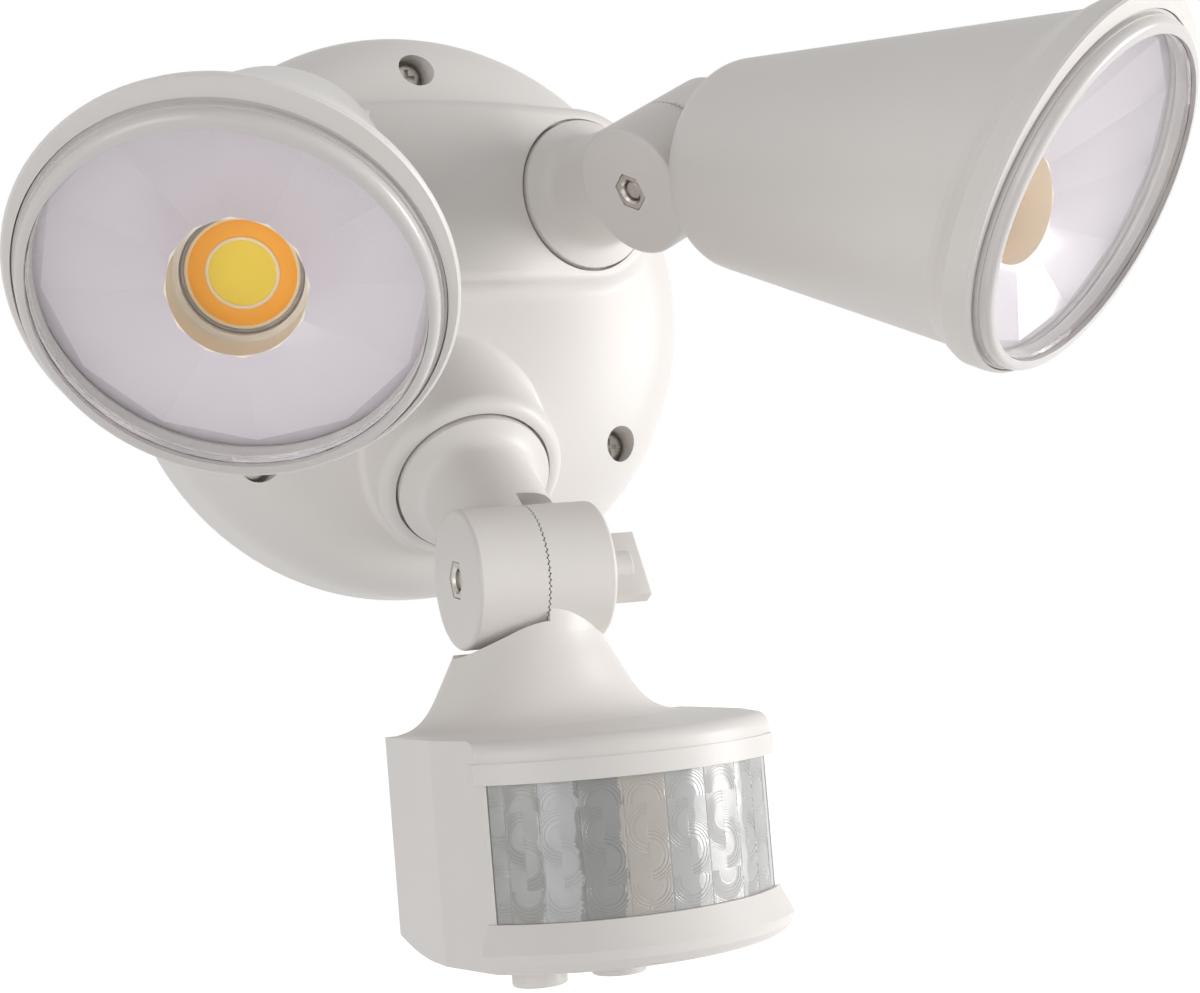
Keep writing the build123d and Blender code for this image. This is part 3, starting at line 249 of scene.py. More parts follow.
# ---- finishes -------------------------------------------------------------------------------
class MaterialBuilder:
    """A material under construction: its tree, its Principled shader and its helpers."""

    def __init__(self, name: str) -> None:
        """Start a material with one Principled shader.

        Args:
            name: Name of the material.
        """
        self.material = bpy.data.materials.new(name)
        self.material.use_nodes = True
        self.tree = self.material.node_tree
        self.shader = self.tree.nodes["Principled BSDF"]

    def effect(self, maker: Callable[[], Effect], **values: float | Colour) -> bpy.types.Node:
        """Place a shared effect and set its inputs.

        Args:
            maker: The function that builds the effect.
            values: Values of its inputs by name, with _ for a space.

        Returns:
            The node that holds the effect.
        """
        placed = self.tree.nodes.new("ShaderNodeGroup")
        placed.node_tree = shared(maker)
        for key, value in values.items():
            placed.inputs[key.replace("_", " ")].default_value = value
        return placed

    def feed(self, socket: bpy.types.NodeSocket, target: str) -> None:
        """Feed one of the shader's inputs."""
        self.tree.links.new(socket, self.shader.inputs[target])

    def bump(self, height: bpy.types.NodeSocket, strength: float, distance: float) -> None:
        """Turn a height into the surface normal.

        Args:
            height: The socket with the height.
            strength: Strength of the bump.
            distance: Depth in metres at full strength.
        """
        node = self.tree.nodes.new("ShaderNodeBump")
        node.inputs["Strength"].default_value = strength
        node.inputs["Distance"].default_value = distance
        self.tree.links.new(height, node.inputs["Height"])
        self.feed(node.outputs["Normal"], "Normal")

    def constant(self, **values: float | Colour) -> None:
        """Set plain numbers on the shader, with _ for a space."""
        for key, value in values.items():
            self.shader.inputs[key.replace("_", " ")].default_value = value


@dataclass(frozen=True)
class Moulding:
    """An injection-moulded surface with a fine grain."""

    name: str
    base: Colour
    shade: Colour
    gloss: float = 0.42
    drift: float = 0.08
    grain: float = 2600.0
    relief: float = 0.00004
    bump: float = 0.35
    index: float = 1.5

    def make(self) -> bpy.types.Material:
        """Build the material.

        Returns:
            The finished material.
        """
        builder = MaterialBuilder(self.name)
        grain = builder.effect(
            mould_grain,
            Grain_Size=self.grain,
            Base=self.base,
            Shade=self.shade,
            Gloss=self.gloss,
            Gloss_Drift=self.drift,
        )
        builder.feed(grain.outputs["Colour"], "Base Color")
        builder.feed(grain.outputs["Roughness"], "Roughness")
        builder.bump(grain.outputs["Height"], self.bump, self.relief)
        builder.constant(IOR=self.index)
        return builder.material


@dataclass(frozen=True)
class Metal:
    """A metal surface with drawn streaks."""

    name: str
    bright: Colour
    dull: Colour
    streaks: float = 900.0
    relief: float = 0.00003
    bump: float = 0.3

    def make(self) -> bpy.types.Material:
        """Build the material.

        Returns:
            The finished material.
        """
        builder = MaterialBuilder(self.name)
        metal = builder.effect(
            turned_metal, Streaks=self.streaks, Bright=self.bright, Dull=self.dull
        )
        builder.feed(metal.outputs["Colour"], "Base Color")
        builder.feed(metal.outputs["Roughness"], "Roughness")
        builder.bump(metal.outputs["Height"], self.bump, self.relief)
        builder.constant(Metallic=1.0)
        return builder.material


@dataclass(frozen=True)
class ClearPlastic:
    """A clear or milky moulded plastic."""

    name: str
    tint: Colour = (0.985, 0.985, 0.985, 1.0)
    shade: Colour = (0.96, 0.965, 0.97, 1.0)
    gloss: float = 0.02
    clear: float = 1.0
    index: float = 1.49
    grain: float = 300.0
    drift: float = 0.01
    relief: float = 0.00002
    bump: float = 0.05

    def make(self) -> bpy.types.Material:
        """Build the material.

        Returns:
            The finished material.
        """
        builder = MaterialBuilder(self.name)
        grain = builder.effect(
            mould_grain,
            Grain_Size=self.grain,
            Base=self.tint,
            Shade=self.shade,
            Gloss=self.gloss,
            Gloss_Drift=self.drift,
        )
        builder.feed(grain.outputs["Colour"], "Base Color")
        builder.feed(grain.outputs["Roughness"], "Roughness")
        builder.bump(grain.outputs["Height"], self.bump, self.relief)
        builder.constant(Transmission_Weight=self.clear, IOR=self.index)
        return builder.material


@dataclass(frozen=True)
class LensFilm:
    """The translucent film of the sensor window, with painted reflections and painted shade in
    bands.
    """

    name: str
    dark: Colour = (0.33, 0.34, 0.33, 1.0)
    light: Colour = (0.74, 0.75, 0.75, 1.0)
    warm: Colour = (0.56, 0.50, 0.45, 1.0)
    gloss: float = 0.24
    clear: float = 0.12
    index: float = 1.5
    grain: float = 900.0
    drift: float = 0.04
    relief: float = 0.00001
    bump: float = 0.05

    def make(self) -> bpy.types.Material:
        """Build the material: the mesh carries how light and how warm each point is painted, as
        painted reflection and shade.

        Returns:
            The finished material.
        """
        builder = MaterialBuilder(self.name)
        tree = builder.tree
        # Tone and warmth hold painted reflections and painted shade: dark is the film in painted
        # shade, light and warm are painted reflections.
        tone = add_node(tree, "ShaderNodeAttribute", attribute_name="tone")
        warmth = add_node(tree, "ShaderNodeAttribute", attribute_name="warmth")
        tint = add_node(tree, "ShaderNodeMix", data_type="RGBA")
        tree.links.new(tone.outputs["Fac"], tint.inputs["Factor"])
        tint.inputs["A"].default_value = self.dark
        tint.inputs["B"].default_value = self.light
        blend = add_node(tree, "ShaderNodeMix", data_type="RGBA")
        tree.links.new(warmth.outputs["Fac"], blend.inputs["Factor"])
        tree.links.new(tint.outputs["Result"], blend.inputs["A"])
        blend.inputs["B"].default_value = self.warm
        builder.feed(blend.outputs["Result"], "Base Color")
        grain = builder.effect(
            mould_grain, Grain_Size=self.grain, Gloss=self.gloss, Gloss_Drift=self.drift
        )
        builder.feed(grain.outputs["Roughness"], "Roughness")
        builder.bump(grain.outputs["Height"], self.bump, self.relief)
        builder.constant(IOR=self.index, Transmission_Weight=self.clear)
        return builder.material


class Palette:
    """All finishes of the light: the record's slots, and finer ones that belong to them."""

    def __init__(self) -> None:
        """Build every material once."""
        satin = dict(base=(0.80, 0.765, 0.735, 1.0), shade=(0.765, 0.73, 0.70, 1.0))
        finishes: dict[str, Moulding | Metal | ClearPlastic | LensFilm] = {
            "housing": Moulding("satin_warm_white", **satin),
            "inner_plastic": Moulding(
                "inner_white", (0.82, 0.81, 0.79, 1.0), (0.78, 0.77, 0.75, 1.0), gloss=0.5
            ),
            "steel": Metal("stainless", (0.60, 0.57, 0.53, 1.0), (0.36, 0.33, 0.30, 1.0)),
            "rubber": Moulding(
                "pale_rubber", (0.70, 0.69, 0.67, 1.0), (0.62, 0.61, 0.6, 1.0), gloss=0.7
            ),
            "foam": Moulding(
                "grey_foam",
                (0.16, 0.16, 0.165, 1.0),
                (0.11, 0.11, 0.115, 1.0),
                gloss=0.9,
                grain=1400.0,
                relief=0.0003,
            ),
            "terminal": Moulding(
                "terminal_green", (0.05, 0.22, 0.1, 1.0), (0.03, 0.16, 0.07, 1.0), gloss=0.45
            ),
            "circuit_board": Moulding(
                "board_laminate", (0.03, 0.16, 0.06, 1.0), (0.02, 0.1, 0.04, 1.0), gloss=0.3
            ),
            "components": Moulding(
                "component_black", (0.03, 0.03, 0.032, 1.0), (0.02, 0.02, 0.02, 1.0), gloss=0.35
            ),
            "heat_sink": Metal(
                "cast_aluminium", (0.7, 0.7, 0.71, 1.0), (0.6, 0.6, 0.6, 1.0), streaks=400.0
            ),
            "led_board": Moulding(
                "white_mask", (0.86, 0.86, 0.86, 1.0), (0.8, 0.8, 0.8, 1.0), gloss=0.3
            ),
            "led_holder": Moulding(
                "cream_well", (0.86, 0.80, 0.70, 1.0), (0.82, 0.75, 0.64, 1.0), gloss=0.3
            ),
            "reflector": Moulding(
                "lilac_white",
                (0.63, 0.58, 0.62, 1.0),
                (0.60, 0.55, 0.59, 1.0),
                gloss=0.18,
                relief=0.00001,
            ),
            "phosphor_ring": Moulding(
                "orange_phosphor", (1.0, 0.42, 0.02, 1.0), (0.98, 0.40, 0.02, 1.0), gloss=0.5
            ),
            "phosphor_centre": Moulding(
                "yellow_phosphor", (0.88, 0.64, 0.05, 1.0), (0.84, 0.62, 0.05, 1.0), gloss=0.5
            ),
            "led_dam": Moulding(
                "cream_silicone", (0.86, 0.68, 0.40, 1.0), (0.84, 0.70, 0.50, 1.0), gloss=0.4
            ),
            # A thin dark line round each lens window: painted shade in the groove at the window's
            # edge.
            "edge_shade": Moulding(
                "painted_edge_shade", (0.10, 0.08, 0.07, 1.0), (0.2, 0.17, 0.15, 1.0), gloss=0.5
            ),
            "clear_ring": ClearPlastic(
                "clear_silicone",
                (0.62, 0.56, 0.53, 1.0),
                (0.50, 0.46, 0.45, 1.0),
                gloss=0.15,
                clear=0.5,
            ),
            "clear_lens": ClearPlastic("clear_cover", index=1.18),
            "milky_rim": ClearPlastic(
                "milky_rim",
                (0.80, 0.765, 0.745, 1.0),
                (0.68, 0.65, 0.63, 1.0),
                gloss=0.22,
                clear=0.12,
            ),
            "fresnel": LensFilm("window_film"),
        }
        self.materials = {slot: finish.make() for slot, finish in finishes.items()}
        self.parents = {
            "phosphor_ring": "led_emitter",
            "phosphor_centre": "led_emitter",
            "led_dam": "led_emitter",
            "clear_ring": "clear_lens",
            "milky_rim": "clear_lens",
            "edge_shade": "rubber",
        }

    def record_slot(self, slot: str) -> str:
        """The record's slot that a finish belongs to."""
        return self.parents.get(slot, slot)

    def dress(self, piece: bpy.types.Object, slot: str) -> None:
        """Give a piece one of the finishes."""
        piece.data.materials.clear()
        piece.data.materials.append(self.materials[slot])


# ---- places ---------------------------------------------------------------------------------
# From the wall plane (right, up, out of the wall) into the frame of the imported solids.
WALL = Matrix(((1, 0, 0, 0), (0, 0, -1, 0), (0, 1, 0, 0), (0, 0, 0, 1)))


def shift(x: float, y: float, z: float) -> Matrix:
    """A move by millimetres."""
    return Matrix.Translation(Vector((x, y, z)) * MM)


def turn(degrees: float, axis: str) -> Matrix:
    """A turn about one axis."""
    return Matrix.Rotation(math.radians(degrees), 4, axis)


@dataclass(frozen=True)
class ArmPlace:
    """Where one arm stands at rest, in millimetres and degrees from the wall plane."""

    collar: tuple[float, float, float]
    pitch: float
    splay: float
    swivel: float
    reach: float
    tilt: float
    tab: float

    def pivot(self) -> Matrix:
        """Frame on the pivot: X along the clamp screw, Z along the arm."""
        lean = turn(self.pitch, "X") @ turn(self.splay, "Y") @ turn(self.swivel, "Z")
        return WALL @ shift(*self.collar) @ lean @ shift(0, 0, self.reach)

    def head(self) -> Matrix:
        """Frame of what the arm carries: a lamp's beam, or the sensor's front, is Z."""
        return self.pivot() @ turn(self.tilt, "X")


ARMS = {
    Arm.RIGHT: ArmPlace(
        collar=(38.0, 25.2, 46.0),
        pitch=0.0,
        splay=14.3,
        swivel=26.5,
        reach=35.5,
        tilt=17.2,
        tab=20.0,
    ),
    Arm.LEFT: ArmPlace(
        collar=(-38.0, 25.2, 46.0),
        pitch=0.0,
        splay=-14.3,
        swivel=-15.6,
        reach=35.5,
        tilt=24.7,
        tab=88.0,
    ),
    Arm.SENSOR: ArmPlace(
        collar=(0.0, -44.1, 54.4),
        pitch=38.6,
        splay=0.0,
        swivel=0.0,
        reach=36.9,
        tilt=-38.6,
        tab=-68.0,
    ),
}

Ring = list[tuple[float, float, float]]


@dataclass(frozen=True)
class Wave:
    """One of the waves that make a line or an edge uneven."""

    rate: float
    strength: float = 1.0
    start: float = 0.0

    def at(self, place: float) -> float:
        """Height of the wave at this place."""
        return self.strength * math.sin(self.rate * place + self.start)


# ---- mesh building --------------------------------------------------------------------------
@dataclass(frozen=True)
class Skin:
    """Rings of points, in millimetres, joined into one closed surface."""

    rings: Sequence[Ring]
    looped: bool = False

    def mesh(self, name: str) -> bpy.types.Mesh:
        """Join the rings.

        Args:
            name: Name of the mesh.

        Returns:
            A closed mesh: capped at both ends, or joined last to first when looped.
        """
        count = len(self.rings[0])
        points = [Vector(p) * MM for ring in self.rings for p in ring]
        pairs = [(n, n + 1) for n in range(len(self.rings) - 1)]
        faces: list[tuple[int, ...]] = []
        if self.looped:
            pairs.append((len(self.rings) - 1, 0))
        else:
            faces.append(tuple(reversed(range(count))))
            last = (len(self.rings) - 1) * count
            faces.append(tuple(range(last, last + count)))
        for low, high in pairs:
            for n in range(count):
                m = (n + 1) % count
                faces.append(
                    (low * count + n, low * count + m, high * count + m, high * count + n)
                )
        mesh = bpy.data.meshes.new(name)
        mesh.from_pydata(points, [], faces)
        face_outward(mesh)
        return mesh


@dataclass(frozen=True)
class Sheet:
    """A fine grid of points in front of a plain back, joined into one closed surface."""

    front: Sequence[Ring]
    back_top: Ring
    back_bottom: Ring
    painted_reflections: dict[str, list[float]]

    def mesh(self, name: str) -> bpy.types.Mesh:
        """Join the front and the back, and keep the painted reflection values of each point.

        Args:
            name: Name of the mesh.

        Returns:
            A closed mesh with one number for each tint at each point.
        """
        rows = len(self.front)
        count = len(self.back_top)
        points = [Vector(p) * MM for row in self.front for p in row]
        points += [Vector(p) * MM for p in (*self.back_top, *self.back_bottom)]
        top = rows * count
        low = top + count
        last = (rows - 1) * count
        faces: list[tuple[int, ...]] = []
        for row in range(rows - 1):
            for n in range(count - 1):
                here = row * count + n
                faces.append((here, here + 1, here + count + 1, here + count))
        for n in range(count - 1):
            faces.append((top + n, top + n + 1, n + 1, n))
            faces.append((last + n, last + n + 1, low + n + 1, low + n))
            faces.append((low + n, low + n + 1, top + n + 1, top + n))
        faces.append((top, *(row * count for row in range(rows)), low))
        faces.append((low + count - 1, *(r * count - 1 for r in range(rows, 0, -1)), low - 1))
        mesh = bpy.data.meshes.new(name)
        mesh.from_pydata(points, [], faces)
        face_outward(mesh)
        for tint, values in self.painted_reflections.items():
            layer = mesh.attributes.new(tint, "FLOAT", "POINT")
            layer.data.foreach_set("value", values + [EVEN] * (2 * count))
        return mesh


def face_outward(mesh: bpy.types.Mesh) -> None:
    """Turn the faces of a closed mesh outward.

    Args:
        mesh: The mesh.
    """
    work = bmesh.new()
    work.from_mesh(mesh)
    bmesh.ops.recalc_face_normals(work, faces=work.faces)
    work.to_mesh(mesh)
    work.free()


def circle(radius: float, height: float, count: int = ROUND_STEPS) -> Ring:
    """A ring about Z at this height."""
    turns = [2 * math.pi * n / count for n in range(count)]
    return [(radius * math.cos(t), radius * math.sin(t), height) for t in turns]


def hexagon(apothem: float, limit: float, height: float, count: int = ROUND_STEPS) -> Ring:
    """A hexagonal ring about Z with rounded corners.

    Args:
        apothem: Half the size across flats.
        limit: Radius of the circle that the corners are cut back to.
        height: Height of the ring.
        count: Number of points.

    Returns:
        The points of the ring.
    """
    ring = []
    for n in range(count):
        t = 2 * math.pi * n / count
        flat = apothem / math.cos(((t + math.pi / 6) % (math.pi / 3)) - math.pi / 6)
        radius = min(flat, limit)
        ring.append((radius * math.cos(t), radius * math.sin(t), height))
    return ring


def ellipse(wide: float, tall: float, height: float, count: int = OVAL_STEPS) -> Ring:
    """An elliptical ring about Z at this height."""
    turns = [2 * math.pi * n / count for n in range(count)]
    return [(wide * math.cos(t), tall * math.sin(t), height) for t in turns]


def lathe(profile: Sequence[tuple[float, float]], looped: bool = False) -> Skin:
    """A turned form from radius and height pairs."""
    return Skin([circle(radius, height) for radius, height in profile], looped)


def place_piece(name: str, mesh: bpy.types.Mesh, place: Matrix, body: str) -> bpy.types.Object:
    """Put a mesh into the scene and let it ride on a body.

    Args:
        name: Name of the piece.
        mesh: Its mesh, in its own frame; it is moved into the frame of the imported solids.
        place: The frame it stands in.
        body: The moving body that carries it.

    Returns:
        The new piece.
    """
    mesh.transform(place)
    piece = bpy.data.objects.new(name, mesh)
    bpy.context.scene.collection.objects.link(piece)
    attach(piece, body)
    LOG.info("built %s on %s, %d faces", name, body, len(mesh.polygons))
    return piece


def smooth(piece: bpy.types.Object, angle: float = 30.0) -> None:
    """Shade a piece smooth and keep its sharp edges crisp.

    Args:
        piece: The piece.
        angle: Edges that turn by more than this stay sharp, in degrees.
    """
    mesh = piece.data
    for face in mesh.polygons:
        face.use_smooth = True
    work = bmesh.new()
    work.from_mesh(mesh)
    limit = math.radians(angle)
    sharp = [
        edge.index
        for edge in work.edges
        if len(edge.link_faces) != 2 or edge.calc_face_angle(0.0) > limit
    ]
    work.free()
    for index in sharp:
        mesh.edges[index].use_edge_sharp = True


# ---- sub-assemblies -------------------------------------------------------------------------
@dataclass
class Assembly:
    """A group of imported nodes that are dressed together.

    Sizes are in millimetres, from the frame that each piece stands in, and angles in degrees.
    """

    palette: Palette
    nodes: Sequence[str] = ()
    crisp: float = 30.0
    faceted: Sequence[str] = ()
    facet_angle: float = 8.0

    def dress(self) -> None:
        """Give each node the finish that the record names for it."""
        slots = {s["node"]: s["material_slot"] for s in frame["record"]["subparts"]}
        for name in self.nodes:
            piece = frame["nodes"][name]
            self.palette.dress(piece, slots[name])
            smooth(piece, self.facet_angle if name in self.faceted else self.crisp)
            LOG.info("dressed %s as %s", name, slots[name])

    def add(
        self, name: str, form: Skin | Sheet, place: Matrix, body: str, slot: str
    ) -> bpy.types.Object:
        """Build one more piece and dress it.

        Args:
            name: Name of the piece.
            form: Its form.
            place: The frame it stands in.
            body: The body that carries it.
            slot: The palette's name of its finish.

        Returns:
            The new piece.
        """
        piece = place_piece(name, form.mesh(name), place, body)
        self.palette.dress(piece, slot)
        self.palette.record_slot(slot)
        smooth(piece, self.crisp)
        return piece


@dataclass
class WallBase(Assembly):
    """The domed base with its back plate, seals, electronics and screws."""

    nodes: Sequence[str] = (
        "wall_gasket",
        "back_plate",
        "cable_grommet",
        "cover_seal",
        "base_cover",
        "cover_screws",
        "terminal_block",
        "driver_board",
        "driver_parts",
    )


@dataclass
class SwivelArm(Assembly):
    """One arm with its seal and ring nut, and its clamp screw and pivot nut in full detail."""

    arm: Arm = Arm.RIGHT
    face: float = 16.0
    bolt_radius: float = 2.46
    bolt_end: float = -14.9
    bolt_point: float = 0.6
    bolt_lead: float = 0.5
    thread_run: float = 1.0
    shank_inset: float = 1.0
    thread_pitch: float = 0.8
    thread_depth: float = 0.34
    hub_radius: float = 3.6
    hub_end: float = 24.9
    gap: float = 0.35
    tab_height: float = 8.2
    tab_inner: float = 19.4
    tab_outer: float = 27.8
    tab_thickness: float = 3.8
    tab_edge: float = 0.3
    tab_soften: float = 0.3
    nut_apothem: float = 4.0
    nut_corner: float = 4.5
    nut_front: float = -15.85
    nut_back: float = -11.85
    nut_bore: float = 2.5
    nut_mouth: float = 3.05
    nut_chamfer: float = 0.3
    nut_sink: float = 0.55

    def __post_init__(self) -> None:
        """Name the arm's nodes."""
        kinds = ("arm", "swivel_seal", "swivel_nut")
        self.nodes = tuple(f"{self.arm.value}_{kind}" for kind in kinds)

    def build(self) -> None:
        """Build the clamp screw and the nut about the pivot axis."""
        name = self.arm.value
        clamp = f"{name}_clamp"
        pivot = ARMS[self.arm].pivot()
        along = pivot @ turn(90.0, "Y")
        lean = pivot @ turn(ARMS[self.arm].tab, "X")
        screw = (
            self.add(f"{name}_pivot_bolt", self.bolt(), along, clamp, "steel"),
            self.add(f"{name}_tab_hub", self.hub(), along, clamp, "housing"),
            self.add(f"{name}_thumb_tab", self.tab(), lean, clamp, "housing"),
        )
        for piece in screw:
            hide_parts(f"{name}_clamp_screw")
        nut = self.add(f"{name}_hex_nut", self.nut(), along, f"{name}_arm", "steel")
        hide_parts(f"{name}_pivot_nut")

    def bolt(self) -> Skin:
        """The threaded bolt: its end sits a little inside the nut.

        Returns:
            The turned form.
        """
        profile = [(self.bolt_radius - self.bolt_point, self.bolt_end)]
        height = self.bolt_end + self.bolt_lead
        while height < self.nut_back + self.thread_run:
            profile.append((self.bolt_radius, height))
            profile.append((self.bolt_radius - self.thread_depth, height + self.thread_pitch / 2))
            height += self.thread_pitch
        profile.append((self.bolt_radius, height))
        profile.append((self.bolt_radius, self.hub_end - self.shank_inset))
        return lathe(profile)

    def hub(self) -> Skin:
        """The moulded hub between the knuckle and the tab.

        Returns:
            The turned form.
        """
        start = self.face + self.gap
        edge = self.tab_edge
        return lathe(
            (
                (self.hub_radius - edge, start),
                (self.hub_radius, start + edge),
                (self.hub_radius, self.hub_end - edge),
                (self.hub_radius - edge, self.hub_end),
            )
        )

    def tab(self) -> Skin:
        """The thumb tab: a thick plate with softened edges.

        Returns:
            The plate.
        """
        start = self.tab_inner
        half = self.tab_thickness / 2
        soft = self.tab_edge * self.tab_soften
        outline = (
            (start, self.tab_height),
            (self.tab_outer, self.tab_height),
            (self.tab_outer, -self.tab_height),
            (start, -self.tab_height),
        )
        rings = []
        middle = (start + self.tab_outer) / 2
        for height, inset in (
            (-half, self.tab_edge),
            (-half + soft, soft),
            (-half + self.tab_edge, 0.0),
            (half - self.tab_edge, 0.0),
            (half - soft, soft),
            (half, self.tab_edge),
        ):
            ring = []
            for x, y in outline:
                inner = x - math.copysign(inset, x - middle)
                ring.append((inner, y - math.copysign(inset, y), height))
            rings.append(ring)
        return Skin(rings)

    def nut(self) -> Skin:
        """The hexagon nut with a chamfered mouth.

        Returns:
            The nut, as one looped surface.
        """
        chamfer = self.nut_chamfer
        rings = [
            circle(self.nut_bore, self.nut_back),
            hexagon(self.nut_apothem, self.nut_corner, self.nut_back),
            hexagon(self.nut_apothem, self.nut_corner, self.nut_front + chamfer),
            hexagon(self.nut_apothem - chamfer / 2, self.nut_corner - chamfer, self.nut_front),
            circle(self.nut_mouth, self.nut_front),
            circle(self.nut_bore, self.nut_front + self.nut_sink),
        ]
        return Skin(rings, looped=True)


@dataclass
class LampHead(Assembly):
    """One lamp head: housing, heat sink, light engine, reflector and lens."""

    arm: Arm = Arm.RIGHT
    led_lift: float = -1.0
    led_plane: float = 84.8
    board_front: float = 84.2
    centre_radius: float = 6.05
    inner_dam: float = 6.75
    phosphor_radius: float = 9.8
    outer_dam: float = 10.45
    ring_radius: float = 11.25
    pad_round: float = 0.12
    pad_share: float = 0.7
    pad_drop: float = 0.03
    pad_tip: float = 0.6
    dam_share: float = 0.55
    dam_steps: int = 6
    mouth_lift: float = 1.9
    mouth_ahead: float = 111.8
    mouth_slant: float = 21.0
    flange: tuple[float, float] = (36.6, 38.7)
    shoulder: tuple[float, float] = (36.1, 38.1)
    collar: tuple[float, float] = (35.7, 37.7)
    window: tuple[float, float] = (33.8, 34.9)
    bore: tuple[float, float] = (33.4, 34.5)
    lens_back: float = -2.2
    flange_front: float = -0.4
    shoulder_front: float = 0.9
    rim_front: float = 3.2
    rim_round: float = 1.5
    rim_steps: int = 8
    window_edge: float = 2.0
    window_crown: float = 3.8
    window_wall: float = 2.0
    window_gap: float = 0.04
    window_shares: tuple[float, ...] = (
        0.01,
        0.03,
        0.07,
        *(0.125 * n for n in range(1, 8)),
        0.95,
        0.985,
        1.0,
    )
    # A thin dark line round the window edge: painted shade in the groove there.
    edge_shade_size: float = 0.12
    edge_shade_swing: float = 0.03
    edge_shade_flat: float = 0.5
    edge_shade_steps: int = 240
    edge_shade_sides: int = 6
    edge_shade_waves: tuple[Wave, ...] = (Wave(7, 1.0, 1.0), Wave(19), Wave(43, 0.8, 2.0))

    def __post_init__(self) -> None:
        """Name the head's nodes."""
        kinds = (
            "housing",
            "heat_sink",
            "led_board",
            "led_holder",
            "reflector",
            "lens_gasket",
        )
        self.nodes = tuple(f"{self.arm.value}_{kind}" for kind in kinds)
        self.faceted = (f"{self.arm.value}_reflector",)

    def build(self) -> None:
        """Build the light engine's rings, the lens, and a dark line of painted shade at the
        window's edge.
        """
        name = self.arm.value
        body = f"{name}_head"
        engine = ARMS[self.arm].head() @ shift(0, self.led_lift, 0)
        forms = (
            ("phosphor_centre", self.pad(0.0, self.centre_radius), "phosphor_centre"),
            ("phosphor_ring", self.pad(self.inner_dam, self.phosphor_radius), "phosphor_ring"),
            ("inner_dam", self.dam(self.centre_radius, self.inner_dam), "led_dam"),
            ("outer_dam", self.dam(self.phosphor_radius, self.outer_dam), "led_dam"),
            ("clear_ring", self.dam(self.outer_dam, self.ring_radius), "clear_ring"),
        )
        for kind, form, slot in forms:
            piece = self.add(f"{name}_{kind}", form, engine, body, slot)
            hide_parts(f"{name}_led_emitter")
        mouth = self.mouth()
        rim = self.add(f"{name}_lens_rim", self.rim(), mouth, body, "milky_rim")
        pane = self.add(f"{name}_lens_window", self.pane(), mouth, body, "clear_lens")
        for piece in (rim, pane):
            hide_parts(f"{name}_lens")
        # Painted shade: a thin dark line in the groove at the window's edge.
        self.add(f"{name}_window_edge_shade", self.edge_shade(), mouth, body, "edge_shade")

    def mouth(self) -> Matrix:
        """Frame of the slanted mouth: Z out of the lens."""
        tip = shift(0, self.mouth_lift, self.mouth_ahead)
        return ARMS[self.arm].head() @ tip @ turn(self.mouth_slant, "X")

    def pad(self, inner: float, outer: float) -> Skin:
        """A phosphor pad, a little fuller in its middle.

        Args:
            inner: Inner radius, or 0 for a disc.
            outer: Outer radius.

        Returns:
            The turned form.
        """
        base = self.board_front
        top = self.led_plane - self.pad_round
        crown = self.led_plane
        if inner == 0.0:
            near = (outer * self.pad_share, crown - self.pad_drop)
            return lathe(((outer, base), (outer, top), near, (self.pad_tip, crown)))
        middle = (inner + outer) / 2
        return lathe(
            ((inner, base), (outer, base), (outer, top), (middle, crown), (inner, top)), True
        )

    def dam(self, inner: float, outer: float) -> Skin:
        """A rounded silicone ring around a pad.

        Args:
            inner: Inner radius.
            outer: Outer radius.

        Returns:
            The turned form.
        """
        base = self.board_front
        half = (outer - inner) / 2
        middle = (outer + inner) / 2
        profile = [(inner, base), (outer, base)]
        for step in range(self.dam_steps + 1):
            a = math.pi * step / self.dam_steps
            height = self.led_plane + half * self.dam_share * math.sin(a)
            profile.append((middle + half * math.cos(a), height))
        return lathe(profile, True)

    def rim(self) -> Skin:
        """The milky rim: a thin flange in the lip and a rounded collar in front of it.

        Returns:
            The rim, as one looped surface.
        """
        turned = self.rim_front - self.rim_round
        profile = [
            (self.flange, self.lens_back),
            (self.flange, self.flange_front),
            (self.shoulder, self.flange_front),
            (self.shoulder, self.shoulder_front),
            (self.collar, self.shoulder_front),
        ]
        rings = [ellipse(*size, height) for size, height in profile]
        for step in range(self.rim_steps + 1):
            a = math.pi / 2 * step / self.rim_steps
            inset = self.rim_round * (1 - math.cos(a))
            sizes = [size - inset for size in self.collar]
            rings.append(ellipse(*sizes, turned + self.rim_round * math.sin(a)))
        rings.append(ellipse(*self.window, self.rim_front))
        rings.append(ellipse(*self.window, self.window_edge - self.window_wall))
        rings.append(ellipse(*self.bore, self.window_edge - self.window_wall))
        rings.append(ellipse(*self.bore, self.lens_back))
        return Skin(rings, looped=True)

    def pane(self) -> Skin:
        """The clear window: a shallow dome of even thickness.

        Returns:
            The window, closed at both middles.
        """
        back_crown = self.window_crown - self.window_wall
        front = [self.domed(share, self.window_crown) for share in self.window_shares]
        back = [self.domed(share, back_crown) for share in self.window_shares]
        return Skin(front + back[::-1])

    def domed(self, share: float, crown: float) -> Ring:
        """A ring of the window, on a sphere.

        Args:
            share: Size of the ring as a share of the window's.
            crown: Height of the sphere's top.

        Returns:
            The points of the ring.
        """
        drop = self.window_crown - self.window_edge
        radius = (self.window[1] ** 2 + drop**2) / 2 / drop
        wide, tall = [(size - self.window_gap) * share for size in self.window]
        return [
            (x, y, crown - radius + math.sqrt(radius**2 - x * x - y * y))
            for x, y, _ in ellipse(wide, tall, 0.0)
        ]

